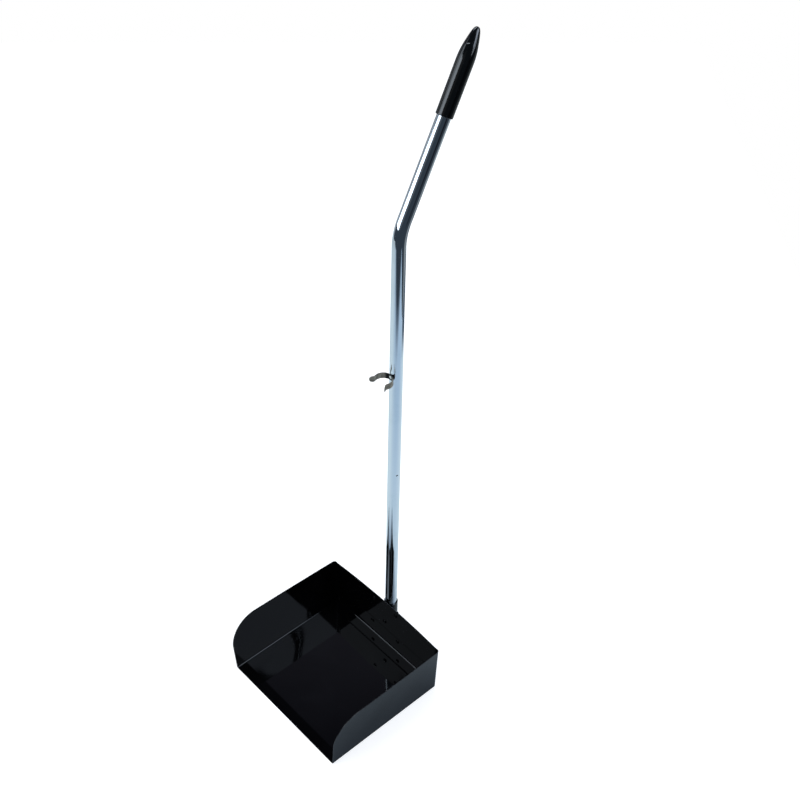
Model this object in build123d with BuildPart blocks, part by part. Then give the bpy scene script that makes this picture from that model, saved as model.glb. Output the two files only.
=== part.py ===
from build123d import *
import os
from math import cos, radians, sin, tan

# A long-handled waste scoop: a folded steel pan, a bent tube handle and a spring tool clip.
# Millimetres, +Z up. The pan's open front faces -Y and the handle stands behind its back panel.
# The origin is the middle of the pan's flat underside.

# Pan tray: one folded sheet with flared side walls, rounded rear corners that end in tabs, and a
# thin front lip. The walls' top edges drop and are drawn in a little towards the rear.
sheet = 1.0
inner_bend = 2.2
pan_width = 245.0
pan_depth = 217.0
wall_height = 97.0
wall_rear_height = 94.0
wall_flare = 4.93
wall_rear_turn = 1.34
wall_corner_radius = 50.0
rear_corner_radius = 6.0
fold_height = 3.5
lip_length = 17.0
lip_edge = 0.4
tab_reach = 20.0
tab_high = 92.8

# Back panel: a second folded sheet, whose foot lies on the tray's floor
foot_length = 18.0
panel_end_height = 94.5
panel_crown_height = 101.6
panel_side_gap = 0.3

# Handle socket: a plate with a round sleeve, riveted behind the back panel
plate_width = 80.0
plate_low = 17.0
plate_high = 97.0
plate_thickness = 1.5
plate_corner = 6.0
sleeve_wall = 1.5
sleeve_low = 8.0
sleeve_high = 94.5
sleeve_web = 8.0

# Fasteners of the socket
rivet_shank = 4.0
rivet_head = 7.5
rivet_head_height = 2.0
rivet_tail = 6.0
rivet_tail_height = 1.4
rivet_places = [(-31.0, 28.0), (31.0, 28.0), (-26.0, 89.0), (26.0, 89.0)]
bolt_shank = 4.0
bolt_head = 8.0
bolt_head_height = 2.4
bolt_height = 52.0
bolt_end = 1.5
nut_flats = 7.0
nut_height = 3.2
hole_clearance = 0.1

# Handle tube: a lower run that leans back a little, one bend, and an upper run
tube_diameter = 19.05
tube_wall = 1.1
tube_fit = 0.1
tube_foot = 10.0
lower_lean = 1.48
upper_lean = 28.0
bend_height = 788.5
bend_radius = 80.0
sleeve_floor = 0.8
drain_hole = 3.0
drain_height = 378.0
drain_angle = 78.0

# Hand grip: a moulded sleeve with a bullet end behind a small step, pushed on to the upper run
grip_start = 157.5
grip_length = 113.5
grip_diameter = 23.1
grip_fit = 0.05
grip_taper = 39.0
grip_shoulder = (10.05, 24.7)
grip_step = (9.4, 23.2)
grip_nose = [(8.45, 19.0), (7.05, 13.0), (5.3, 6.8), (3.7, 3.0)]
grip_rim = 0.8

# Spring tool clip: a curved strip on the tube's front, with two arms that end in flared lips
clip_height = 562.0
clip_strip = 1.0
clip_width = 9.5
clip_seat_radius = 12.8
clip_root_angle = 28.0
clip_root_gap = 0.08
clip_past_widest = 20.0
clip_neck_radius = 3.5
clip_lip_turn = 55.0
clip_lip_length = 5.5
clip_lip_round = 4.2
clip_rivet_shank = 3.2
clip_rivet_head = 5.2
clip_rivet_cone = 90.0
clip_rivet_tail = 5.0
clip_rivet_tail_height = 1.5
clip_rivet_tail_gap = 0.45

# Places worked out from the sizes above
front_y = -pan_depth / 2
rear_y = pan_depth / 2
flare = tan(radians(wall_flare))
wall_across = sheet / cos(radians(wall_flare))
panel_back_y = rear_y - wall_across
panel_front_y = panel_back_y - sheet
floor_half = pan_width / 2 - sheet - inner_bend
rear_turn_sine = sin(radians(wall_rear_turn))
wall_run = pan_depth - rear_corner_radius * (1 - rear_turn_sine)
wall_sweep_radius = wall_run / rear_turn_sine
wall_rear_draw = wall_sweep_radius * (1 - cos(radians(wall_rear_turn)))
corner_reach = rear_corner_radius * cos(radians(wall_rear_turn))
tube_radius = tube_diameter / 2
bore_radius = tube_radius + tube_fit
sleeve_radius = bore_radius + sleeve_wall
lean = tan(radians(lower_lean))
lower_axis = Vector(0, sin(radians(lower_lean)), cos(radians(lower_lean)))
upper_axis = Vector(0, sin(radians(upper_lean)), cos(radians(upper_lean)))
axis_y_at_ground = panel_back_y + sleeve_floor + bore_radius - sleeve_low * lean


def outer_half_width(height):
    """Half the pan's outside width at a height above the ground."""
    return pan_width / 2 + height * flare


def corner_inner_half(height):
    """Half the width between the rear corners' rounds, along the rear face, at a height."""
    share = (height - fold_height) / (wall_height - fold_height)
    low = outer_half_width(fold_height) - rear_corner_radius
    high = outer_half_width(wall_height) - wall_rear_draw - corner_reach
    return low + share * (high - low)


def axis_point(height):
    """The point of the lower run's centre line at a height above the ground."""
    return Vector(0, axis_y_at_ground + height * lean, height)


bend_point = axis_point(bend_height)
grip_low = bend_point + upper_axis * grip_start
tube_top = grip_low + upper_axis * (grip_length - grip_taper)
clip_front = Vector(0, -lower_axis.Z, lower_axis.Y)
clip_seat = Plane(
    origin=axis_point(clip_height) + clip_front * (tube_radius + clip_strip + clip_seat_radius),
    x_dir=(1, 0, 0),
    z_dir=lower_axis,
)
clip_middle_radius = clip_seat_radius + clip_strip / 2


os.makedirs("parts", exist_ok=True)

# Right side wall: a ruled sheet from the fold up to the top edge, with its rear corner and tab
with BuildPart() as right_wall:
    with BuildSketch(Plane.XY.offset(fold_height)):
        with BuildLine():
            low_x = outer_half_width(fold_height)
            low_side = Line((low_x, front_y), (low_x, rear_y - rear_corner_radius))
            low_corner = JernArc(low_side @ 1, low_side % 1, rear_corner_radius, 90)
            Line(low_corner @ 1, (low_x - tab_reach, rear_y))
            offset(amount=wall_across, side=Side.LEFT)
        make_face()
    with BuildSketch(Plane.XY.offset(wall_height)):
        with BuildLine():
            high_x = outer_half_width(wall_height)
            high_side = JernArc((high_x, front_y), (0, 1), wall_sweep_radius, wall_rear_turn)
            high_corner = JernArc(high_side @ 1, high_side % 1, rear_corner_radius, 90 - wall_rear_turn)
            Line(high_corner @ 1, (high_x - wall_rear_draw - tab_reach, rear_y))
            offset(amount=wall_across, side=Side.LEFT)
        make_face()
    loft(ruled=True)
    # The tab stops below the back panel's top edge
    with BuildSketch(Plane.XY.offset(tab_high)):
        with Locations((0, rear_y)):
            Rectangle(2 * corner_inner_half(wall_height), 2 * sheet + sheet / 2)
    extrude(amount=wall_height, mode=Mode.SUBTRACT)

# Pan tray: the floor with its two folds, then the walls
with BuildPart() as pan_tray:
    with BuildSketch(Plane.XZ.offset(-rear_y)):
        with BuildLine():
            FilletPolyline(
                (-outer_half_width(2 * fold_height), 2 * fold_height),
                (-outer_half_width(0), 0),
                (outer_half_width(0), 0),
                (outer_half_width(2 * fold_height), 2 * fold_height),
                radius=inner_bend + sheet,
            )
            offset(amount=sheet, side=Side.LEFT)
        make_face()
    extrude(amount=pan_depth)
    with BuildSketch(Plane.XY):
        with BuildLine():
            floor_edge = FilletPolyline(
                (-outer_half_width(fold_height), front_y),
                (-outer_half_width(fold_height), rear_y),
                (outer_half_width(fold_height), rear_y),
                (outer_half_width(fold_height), front_y),
                radius=rear_corner_radius,
            )
            Line(floor_edge @ 1, floor_edge @ 0)
        make_face()
    extrude(amount=fold_height, mode=Mode.INTERSECT)
    add(right_wall.part)
    mirror(right_wall.part, about=Plane.YZ)
    # The side view: upright front edges that turn into the top edges in a large round
    with BuildSketch(Plane.YZ):
        with BuildLine():
            Polyline(
                (front_y + wall_corner_radius, wall_height),
                (rear_y, wall_rear_height),
                (rear_y, 0),
                (front_y, 0),
                (front_y, wall_height - wall_corner_radius),
            )
            RadiusArc(
                (front_y, wall_height - wall_corner_radius),
                (front_y + wall_corner_radius, wall_height),
                wall_corner_radius,
            )
        make_face()
    extrude(amount=pan_width, both=True, mode=Mode.INTERSECT)
    # The lip: the floor's top slopes down to a thin front edge
    with BuildSketch(Plane.YZ):
        with BuildLine():
            Polyline(
                (front_y, lip_edge),
                (front_y + lip_length, sheet),
                (front_y, sheet),
                close=True,
            )
        make_face()
    extrude(amount=floor_half, both=True, mode=Mode.SUBTRACT)
pan_tray.part.label = "pan_tray"
export_step(pan_tray.part, "parts/pan_tray.step")

# Back panel
with BuildPart() as back_panel:
    with BuildSketch(Plane.YZ):
        with BuildLine():
            FilletPolyline(
                (panel_front_y - foot_length, sheet),
                (panel_back_y, sheet),
                (panel_back_y, panel_crown_height),
                radius=inner_bend + sheet,
            )
            offset(amount=sheet, side=Side.LEFT)
        make_face()
    extrude(amount=pan_width, both=True)
    # The front view: sides that follow the flared walls, and a crowned top edge
    with BuildSketch(Plane.XZ):
        with BuildLine():
            right_side = Line(
                (corner_inner_half(sheet) - panel_side_gap, sheet),
                (corner_inner_half(panel_end_height) - panel_side_gap, panel_end_height),
            )
            left_side = mirror(right_side, about=Plane.YZ)
            ThreePointArc(right_side @ 1, (0, panel_crown_height), left_side @ 1)
            Line(right_side @ 0, left_side @ 0)
        make_face()
    extrude(amount=pan_depth, both=True, mode=Mode.INTERSECT)
    with BuildSketch(Plane.XZ.offset(-panel_back_y)):
        with Locations(*rivet_places):
            Circle(rivet_shank / 2 + hole_clearance)
        with Locations((0, bolt_height)):
            Circle(bolt_shank / 2 + hole_clearance)
    extrude(amount=sheet, mode=Mode.SUBTRACT)
back_panel.part.label = "back_panel"
export_step(back_panel.part, "parts/back_panel.step")

# Handle socket
with BuildPart() as handle_socket:
    with BuildSketch(Plane.XZ.offset(-panel_back_y)):
        with Locations((0, (plate_low + plate_high) / 2)):
            RectangleRounded(plate_width, plate_high - plate_low, plate_corner)
    extrude(amount=-plate_thickness)
    with BuildSketch(Plane.YZ):
        with BuildLine():
            Polyline(
                (panel_back_y, plate_low),
                (axis_point(plate_low).Y, plate_low),
                (axis_point(sleeve_high).Y, sleeve_high),
                (panel_back_y, sleeve_high),
                close=True,
            )
        make_face()
    extrude(amount=sleeve_web / 2, both=True)
    sleeve_length = (sleeve_high - sleeve_low) / lower_axis.Z
    with BuildSketch(Plane(origin=axis_point(sleeve_low), x_dir=(1, 0, 0), z_dir=lower_axis)):
        Circle(sleeve_radius)
    extrude(amount=sleeve_length)
    # The sleeve's front is flattened where it lies against the panel
    with BuildSketch(Plane.XZ.offset(-panel_back_y)):
        Rectangle(pan_width, pan_width)
    extrude(amount=sleeve_radius, mode=Mode.SUBTRACT)
    with BuildSketch(Plane(origin=axis_point(0), x_dir=(1, 0, 0), z_dir=lower_axis)):
        Circle(bore_radius)
    extrude(amount=2 * sleeve_high, mode=Mode.SUBTRACT)
    with BuildSketch(Plane.XZ.offset(-panel_back_y)):
        with Locations(*rivet_places):
            Circle(rivet_shank / 2 + hole_clearance)
        with Locations((0, bolt_height)):
            Circle(bolt_shank / 2 + hole_clearance)
    extrude(amount=-4 * sleeve_radius, mode=Mode.SUBTRACT)
handle_socket.part.label = "handle_socket"
export_step(handle_socket.part, "parts/handle_socket.step")

# Socket rivets: domed heads inside the pan, flat tails behind the plate
with BuildPart() as one_rivet:
    with BuildSketch(Plane.YZ):
        with BuildLine():
            tail_start = panel_back_y + plate_thickness
            dome_tip = (panel_front_y - rivet_head_height, 0)
            rivet_edge = Polyline(
                (panel_front_y, rivet_head / 2),
                (panel_front_y, rivet_shank / 2),
                (tail_start, rivet_shank / 2),
                (tail_start, rivet_tail / 2),
                (tail_start + rivet_tail_height, rivet_tail / 2),
                (tail_start + rivet_tail_height, 0),
                dome_tip,
            )
            TangentArc(dome_tip, rivet_edge @ 0, tangent=(0, 1))
        make_face()
    revolve(axis=Axis.Y)
with BuildPart() as socket_rivets:
    with Locations(*[(x, 0, z) for x, z in rivet_places]):
        add(one_rivet.part)
socket_rivets.part.label = "socket_rivets"
export_step(socket_rivets.part, "parts/socket_rivets.step")

# Handle bolt and its nut, square to the panel
nut_y = axis_point(bolt_height + nut_flats).Y + sleeve_radius / lower_axis.Z
with BuildPart() as handle_bolt:
    with BuildSketch(Plane.YZ):
        with BuildLine():
            bolt_tip = nut_y + nut_height + bolt_end
            head_tip = (panel_front_y - bolt_head_height, bolt_height)
            bolt_edge = Polyline(
                (panel_front_y, bolt_height + bolt_head / 2),
                (panel_front_y, bolt_height + bolt_shank / 2),
                (bolt_tip, bolt_height + bolt_shank / 2),
                (bolt_tip, bolt_height),
                head_tip,
            )
            TangentArc(head_tip, bolt_edge @ 0, tangent=(0, 1))
        make_face()
    revolve(axis=Axis((0, 0, bolt_height), (0, 1, 0)))
handle_bolt.part.label = "handle_bolt"
export_step(handle_bolt.part, "parts/handle_bolt.step")

with BuildPart() as handle_nut:
    with BuildSketch(Plane.XZ.offset(-nut_y)):
        with Locations((0, bolt_height)):
            RegularPolygon(nut_flats / 2, 6, major_radius=False)
            Circle(bolt_shank / 2 + hole_clearance / 2, mode=Mode.SUBTRACT)
    extrude(amount=-nut_height)
handle_nut.part.label = "handle_nut"
export_step(handle_nut.part, "parts/handle_nut.step")

# Handle tube
with BuildPart() as handle_tube:
    with BuildLine(Plane.YZ) as tube_path:
        FilletPolyline(
            (axis_point(tube_foot).Y, tube_foot),
            (bend_point.Y, bend_height),
            (tube_top.Y, tube_top.Z),
            radius=bend_radius,
        )
    with BuildSketch(Plane(origin=axis_point(tube_foot), x_dir=(1, 0, 0), z_dir=lower_axis)):
        Circle(tube_radius)
        Circle(tube_radius - tube_wall, mode=Mode.SUBTRACT)
    sweep(path=tube_path.line)
    # Holes: the bolt right through, the clip's rivet in the front, a drain hole in the side
    with BuildSketch(Plane.XZ):
        with Locations((0, bolt_height)):
            Circle(bolt_shank / 2 + hole_clearance)
    extrude(amount=-pan_depth, mode=Mode.SUBTRACT)
    with BuildSketch(Plane(origin=axis_point(clip_height), x_dir=(1, 0, 0), z_dir=clip_front)):
        Circle(clip_rivet_shank / 2 + hole_clearance)
    extrude(amount=tube_diameter, mode=Mode.SUBTRACT)
    drain_way = Vector(sin(radians(drain_angle)), -cos(radians(drain_angle)), 0)
    with BuildSketch(Plane(origin=axis_point(drain_height), z_dir=drain_way)):
        Circle(drain_hole / 2)
    extrude(amount=tube_diameter, mode=Mode.SUBTRACT)
handle_tube.part.label = "handle_tube"
export_step(handle_tube.part, "parts/handle_tube.step")

# Hand grip, drawn beside its own axis
grip_side = Plane(origin=grip_low, x_dir=(0, upper_axis.Z, -upper_axis.Y), z_dir=(1, 0, 0))
grip_bore = tube_radius + grip_fit
with BuildPart() as hand_grip:
    with BuildSketch(grip_side):
        with BuildLine():
            grip_wall = Polyline(
                (0, grip_length),
                (0, grip_length - grip_taper),
                (grip_bore, grip_length - grip_taper),
                (grip_bore, 0),
                (grip_diameter / 2 - grip_rim, 0),
                (grip_diameter / 2, grip_rim),
                (grip_diameter / 2, grip_length - grip_taper),
            )
            shoulder_end = (grip_shoulder[0], grip_length - grip_shoulder[1])
            step_end = (grip_step[0], grip_length - grip_step[1])
            TangentArc(grip_wall @ 1, shoulder_end, tangent=(0, 1))
            Line(shoulder_end, step_end)
            nose_points = [(radius, grip_length - from_tip) for radius, from_tip in grip_nose]
            Spline(step_end, *nose_points, grip_wall @ 0, tangents=[(-1, 3), (-1, 0)])
        make_face()
    revolve(axis=Axis(grip_low, upper_axis))
hand_grip.part.label = "hand_grip"
export_step(hand_grip.part, "parts/hand_grip.step")

# Clip base: the middle of the curved strip, countersunk for its rivet
root_gap_angle = (clip_root_gap + clip_strip / 2) / radians(clip_middle_radius)
base_angle = clip_root_angle - root_gap_angle
clip_face = Plane(
    origin=axis_point(clip_height) + clip_front * (tube_radius + clip_strip),
    x_dir=(1, 0, 0),
    z_dir=clip_front,
)
with BuildPart() as clip_base:
    with BuildSketch(clip_seat):
        with BuildLine():
            CenterArc((0, 0), clip_middle_radius, 90 - base_angle, 2 * base_angle)
        trace(line_width=clip_strip)
    extrude(amount=clip_width / 2, both=True)
    with Locations(clip_face):
        CounterSinkHole(
            radius=clip_rivet_shank / 2 + hole_clearance,
            counter_sink_radius=clip_rivet_head / 2 + hole_clearance,
            depth=2 * clip_strip,
            counter_sink_angle=clip_rivet_cone,
        )
clip_base.part.label = "clip_base"
export_step(clip_base.part, "parts/clip_base.step")

# Clip rivet: a flush head in the strip and a tail inside the tube
rivet_side = Plane(origin=axis_point(clip_height), x_dir=lower_axis, z_dir=(1, 0, 0))
with BuildPart() as clip_rivet:
    with BuildSketch(rivet_side):
        with BuildLine():
            head_face = tube_radius + clip_strip
            head_depth = (clip_rivet_head - clip_rivet_shank) / 2
            tail_top = tube_radius - tube_wall - clip_rivet_tail_gap
            Polyline(
                (0, head_face),
                (clip_rivet_head / 2, head_face),
                (clip_rivet_shank / 2, head_face - head_depth),
                (clip_rivet_shank / 2, tail_top),
                (clip_rivet_tail / 2, tail_top),
                (clip_rivet_tail / 2, tail_top - clip_rivet_tail_height),
                (0, tail_top - clip_rivet_tail_height),
                close=True,
            )
        make_face()
    revolve(axis=Axis(axis_point(clip_height), clip_front))
clip_rivet.part.label = "clip_rivet"
export_step(clip_rivet.part, "parts/clip_rivet.step")

# Clip arms: a round seat, a neck and a flared lip with a round end
with BuildPart() as clip_arm_right:
    with BuildSketch(clip_seat):
        with BuildLine():
            seat_arc = CenterArc(
                (0, 0),
                clip_middle_radius,
                90 - clip_root_angle,
                clip_root_angle - 90 - clip_past_widest,
            )
            neck_arc = JernArc(seat_arc @ 1, seat_arc % 1, clip_neck_radius, clip_lip_turn)
            lip_line = PolarLine(neck_arc @ 1, clip_lip_length, direction=neck_arc % 1)
        trace(line_width=clip_strip)
        with Locations(seat_arc @ 0):
            Circle(clip_strip / 2)
    extrude(amount=clip_width / 2, both=True)
    lip_face = clip_arm_right.faces().sort_by_distance(clip_seat.from_local_coords(lip_line @ 1))[0]
    fillet(lip_face.edges().sort_by(Edge.length)[:2], radius=clip_lip_round)
clip_arm_right.part.label = "clip_arm_right"
export_step(clip_arm_right.part, "parts/clip_arm_right.step")

with BuildPart() as clip_arm_left:
    mirror(clip_arm_right.part, about=Plane.YZ)
clip_arm_left.part.label = "clip_arm_left"
export_step(clip_arm_left.part, "parts/clip_arm_left.step")
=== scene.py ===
"""Looks of a long-handled waste scoop: a folded pan, a bent tube handle, a grip and a spring clip.

Laid out as an add-on. Each operator makes one piece, or a group of like pieces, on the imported
frame, and the panel in the sidebar lists them. Metres, +Z up, the pan's open front faces -Y.
"""
import math

import bpy
import numpy as np
from bpy.props import FloatProperty, FloatVectorProperty, PointerProperty
from mathutils import Euler, Matrix, Vector


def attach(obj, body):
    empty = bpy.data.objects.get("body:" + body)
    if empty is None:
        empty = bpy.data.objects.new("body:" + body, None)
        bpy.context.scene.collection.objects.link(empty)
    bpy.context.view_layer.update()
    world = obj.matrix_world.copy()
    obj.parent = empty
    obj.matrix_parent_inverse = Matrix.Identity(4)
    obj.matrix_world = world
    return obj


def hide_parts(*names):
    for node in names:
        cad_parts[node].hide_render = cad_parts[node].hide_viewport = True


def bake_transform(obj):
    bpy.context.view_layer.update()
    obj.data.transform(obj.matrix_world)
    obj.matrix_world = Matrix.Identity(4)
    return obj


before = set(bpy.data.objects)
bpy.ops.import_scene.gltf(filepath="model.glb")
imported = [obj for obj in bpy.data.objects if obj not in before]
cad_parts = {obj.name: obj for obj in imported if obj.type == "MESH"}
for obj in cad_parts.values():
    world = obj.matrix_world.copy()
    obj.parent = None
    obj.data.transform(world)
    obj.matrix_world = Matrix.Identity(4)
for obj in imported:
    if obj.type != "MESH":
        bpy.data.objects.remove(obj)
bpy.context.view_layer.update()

bl_info = {
    "name": "Waste scoop looks",
    "version": (1, 0, 0),
    "blender": (4, 5, 0),
    "location": "3D View > Sidebar > Scoop",
    "description": "Makes the pan, the handle, the grip and the spring clip of a waste scoop",
    "category": "Object",
}

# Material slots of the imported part
ENAMEL, PLATING, VINYL, SPRING = (
    "pan_enamel", "tube_plating", "grip_vinyl", "clip_spring_steel")

# How finely the pan is divided
FLOOR_COLUMNS = 97
PANEL_COLUMNS = 97
PANEL_ROWS = 33
FOOT_ROWS = 16
WALL_ROWS = 31
FRONT_STATIONS = 30
SIDE_STATIONS = 42
CORNER_STATIONS = 12
TAB_STATIONS = 8
FOLD_STEPS = 12

# How finely the tube, the grip and the clip are divided
TUBE_COLUMNS = 128
BELOW_DRAIN, ABOVE_DRAIN, BEND_STATIONS, UPPER_STATIONS = 29, 43, 40, 29
DRAIN_CELLS, DRAIN_RINGS = 8, 9
GRIP_COLUMNS = 192
MOUTH_STATIONS, RIM_STATIONS, GRIP_STATIONS = 3, 9, 26
TAPER_STATIONS, NOSE_STATIONS = (24, 26), (24, 40)
STRIP_CORNER, STRIP_FACE = 6, 17
SEAT_STATIONS, ARM_STATIONS, LIP_STATIONS = 17, 110, 22
RIVET_MARGIN, RIVET_RINGS, RIVET_STEPS = 2, 7, 5

# Points that lie closer than this are one, edges sharper than this are rounded, and large faces
# have this weight in the shading of their corners
SAME_POINT = 1e-7
SHARP_EDGE = math.radians(40)
FLAT_WEIGHT = 80

# Where a colour Mix node keeps its two colours and its result
MIX_COLOURS, MIX_RESULT = slice(6, 8), 2

# Width of the camera's sensor in millimetres
SENSOR_WIDTH = 36.0

# Slow waves of a thin sheet: share, waves along, waves up, start. The back panel has a share of
# them, and the walls have none over the last stretch at the rear
SHEET_WAVES = ((1.0, 1.15, 0.35, 0.6), (0.55, 2.3, -0.8, 2.1))
PANEL_WAVES = 0.8
STIFF_REAR = 0.02

# How quickly the wear of an edge fades up a sheet, along the first stations and behind the lip
EDGE_FADE = 40.0
FRONT_FADE = 1.2
LIP_WEAR = 0.0035

# Shares of the rear corner's turn at which the fold is upright and the top starts to drop
FOLD_UPRIGHT = 0.7
TAB_DROP = 0.6

# Enamel: scale of the sheets' waves, roughness of cut edges, width of the panel's dull sides
SHEET_RIPPLE = 9.0
CUT_ROUGHNESS = (0.3, 0.4)
DULL_SIDE = 0.002


# Settings that a user would change

def length(name, description, default):
    """A length in metres."""
    return FloatProperty(
        name=name, description=description, default=default, unit="LENGTH", precision=5)


def angle(name, description, degrees):
    """An angle, given in degrees and kept in radians."""
    return FloatProperty(
        name=name, description=description, default=math.radians(degrees), subtype="ANGLE")


def colour(name, description, default):
    """A linear colour."""
    return FloatVectorProperty(
        name=name, description=description, default=default, size=3, min=0.0, max=1.0,
        subtype="COLOR")


def share(name, description, default):
    """A plain number."""
    return FloatProperty(name=name, description=description, default=default)


class PanSizes(bpy.types.PropertyGroup):
    """Sizes of the folded tray and its back panel."""
    sheet: length("Sheet", "Thickness of the steel sheet", 0.001)
    inner_bend: length("Inner bend", "Inner radius of every fold", 0.0022)
    width: length("Width", "Outside width of the pan at the ground", 0.245)
    depth: length("Depth", "Length of the pan from its lip to its rear face", 0.217)
    wall_height: length("Wall height", "Height of the side walls behind their front round", 0.097)
    rear_height: length("Rear height", "Height of the side walls at the rear", 0.094)
    flare: angle("Flare", "Outward lean of the side walls", 4.93)
    rear_turn: angle("Rear turn", "Turn of the walls' top edges towards the rear", 1.34)
    front_round: length("Front round", "Radius of the walls' front top corners", 0.050)
    corner_radius: length("Corner radius", "Outer radius of the rear corners", 0.006)
    fold_height: length("Fold height", "Height at which the straight wall starts", 0.0035)
    lip_length: length("Lip length", "Length of the floor's thinned front lip", 0.017)
    lip_edge: length("Lip edge", "Thickness of the lip's front edge", 0.0004)
    tab_reach: length("Tab reach", "Reach of the tabs behind the back panel", 0.020)
    tab_high: length("Tab height", "Height of the tabs", 0.0928)
    foot_length: length("Foot length", "Length of the back panel's foot on the floor", 0.018)
    foot_lift: length("Foot lift", "How far the foot stands off the floor", 0.0008)
    foot_edge: length("Foot edge", "Width of the foot's thinly coated front edge", 0.0008)
    panel_end: length("Panel end height", "Height of the back panel at its sides", 0.0945)
    panel_crown: length("Panel crown", "Height of the back panel at its middle", 0.1016)
    side_gap: length("Side gap", "Gap between the back panel and each rear corner", 0.0003)
    buckle: length("Buckle", "How far the thin sheet is out of flat", 0.00022)
    edge_round: length("Edge round", "Rounding of the sheet's cut edges", 0.00022)


class HandleSizes(bpy.types.PropertyGroup):
    """Sizes of the tube handle."""
    radius: length("Radius", "Outside radius of the tube", 0.009525)
    wall: length("Wall", "Wall thickness of the tube", 0.0011)
    foot_height: length("Foot height", "Height of the tube's lower end", 0.010)
    ground_y: length("Axis at ground", "Where the lower run's axis meets the ground", 0.1177154)
    lower_lean: angle("Lower lean", "Backward lean of the lower run", 1.48)
    upper_lean: angle("Upper lean", "Backward lean of the upper run", 28.0)
    bend_height: length("Bend height", "Height at which the two runs' axes meet", 0.7885)
    bend_radius: length("Bend radius", "Radius of the bend's centre line", 0.080)
    drain_height: length("Drain height", "Height of the drain hole", 0.378)
    drain_angle: angle("Drain angle", "Turn of the drain hole from the front", 78.0)
    drain_radius: length("Drain radius", "Radius of the drain hole", 0.0015)


class GripSizes(bpy.types.PropertyGroup):
    """Sizes of the moulded hand grip."""
    start: length("Start", "Distance of the grip's lower end from the bend", 0.1575)
    length: length("Length", "Length of the grip", 0.1135)
    radius: length("Radius", "Outside radius of the grip", 0.01155)
    rim: length("Rim", "Rounding of the grip's lower end", 0.0008)
    tube_stop: length("Tube stop", "Distance from the tip at which the tube inside ends", 0.039)
    taper: length("Taper", "Distance from the tip at which the grip starts to narrow", 0.044)
    nose_radius: length("Nose radius", "Radius at the lower end of the nose", 0.0094)
    nose_start: length("Nose start", "Distance of the nose's lower end from the tip", 0.0232)
    blunting: length("Blunting", "How much the tip is set back", 0.0009)
    ledge_from_tip: length("Ledge", "Distance of the ledge's upper edge from the tip", 0.0224)
    ledge_length: length("Ledge length", "Length of the ledge's slope along the grip", 0.0011)
    ledge_rise: length("Ledge rise", "How far the ledge stands out below and in above", 0.00025)
    ledge_slant: length("Ledge slant", "Climb of the ledge for each radian round the grip", 0.0039)
    ledge_middle: angle("Ledge middle", "Place of the ledge's middle round the grip", -80.0)


class ClipSizes(bpy.types.PropertyGroup):
    """Sizes of the spring clip."""
    height: length("Height", "Height of the clip on the tube", 0.562)
    strip: length("Strip", "Thickness of the spring strip", 0.001)
    width: length("Width", "Width of the spring strip", 0.0095)
    edge_round: length("Edge round", "Rounding of the strip's edges", 0.00025)
    seat_radius: length("Seat radius", "Inner radius of the clip's round seat", 0.0128)
    past_widest: angle("Past widest", "How far the seat goes on past its widest place", 20.0)
    neck_radius: length("Neck radius", "Radius at which each lip turns out", 0.0035)
    lip_turn: angle("Lip turn", "How far each lip turns out", 55.0)
    lip_length: length("Lip length", "Length of each straight lip", 0.0055)
    lip_round: length("Lip round", "Rounding of each lip's end", 0.0042)
    seam: angle("Seam", "Where the strip's middle ends and its springy arms start", 20.0)
    bend_start: angle("Bend start", "Where the arms start to flex", 22.0)
    bend_end: angle("Bend end", "Where the arms follow their joints fully", 40.0)
    hole_radius: length("Hole radius", "Radius of the rivet's countersink", 0.0027)
    hole_bottom: length("Hole bottom", "Radius of the rivet's hole", 0.0017)


class Finishes(bpy.types.PropertyGroup):
    """Colours of the finishes."""
    enamel: colour("Enamel", "Gloss black enamel", (0.0008, 0.0008, 0.0010))
    enamel_haze: colour("Enamel haze", "Enamel where it is handled", (0.0018, 0.0018, 0.0022))
    enamel_dust: colour("Enamel dust", "Dust on the enamel", (0.007, 0.007, 0.0075))
    bare: colour("Bare steel", "Steel where the enamel is worn off", (0.30, 0.29, 0.28))
    plating: colour("Plating", "Bright plated tube", (0.74, 0.80, 0.86))
    plating_dull: colour("Dull plating", "Plating where it is handled", (0.66, 0.73, 0.79))
    vinyl: colour("Vinyl", "Black vinyl of the grip", (0.0010, 0.0011, 0.0013))
    vinyl_haze: colour("Vinyl haze", "Vinyl where hands have dulled it", (0.0026, 0.0027, 0.0030))
    vinyl_dust: colour("Vinyl dust", "Dust on the vinyl", (0.02, 0.02, 0.021))
    spring: colour("Spring steel", "Grey-brown spring steel", (0.36, 0.30, 0.235))
    spring_dark: colour("Dark spring steel", "Tempered patches", (0.14, 0.11, 0.08))
    # Darker steel colour about the rivet, fading out along the strip
    spring_by_rivet: colour("Black spring steel", "Darker steel about the rivet", (0.012, 0.012, 0.013))
    rivet: colour("Rivet", "Bright rivet of the clip", (0.62, 0.62, 0.60))
    rivet_dull: colour("Dull rivet", "Rivet where it was struck", (0.40, 0.39, 0.37))
    floor: colour("Floor", "Pale studio floor", (0.60, 0.60, 0.60))
    # The near and shaded floor tones are painted shade: darker towards the camera, and a painted
    # shadow by the pan, seen only in reflections
    mirrored_far: colour("Far floor", "The floor's far part as metal and gloss show it",
                         (0.60, 0.665, 0.66))
    mirrored_near: colour("Near floor", "The floor's near part as metal and gloss show it",
                          (0.39, 0.475, 0.54))
    mirrored_shade: colour("Shaded floor", "The floor by the pan as metal and gloss show it",
                           (0.27, 0.315, 0.36))
    mirrored_rim: colour("Floor rim",
                         "The floor's near rim and its dark patch as metal and gloss show them",
                         (0.07, 0.09, 0.11))


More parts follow.
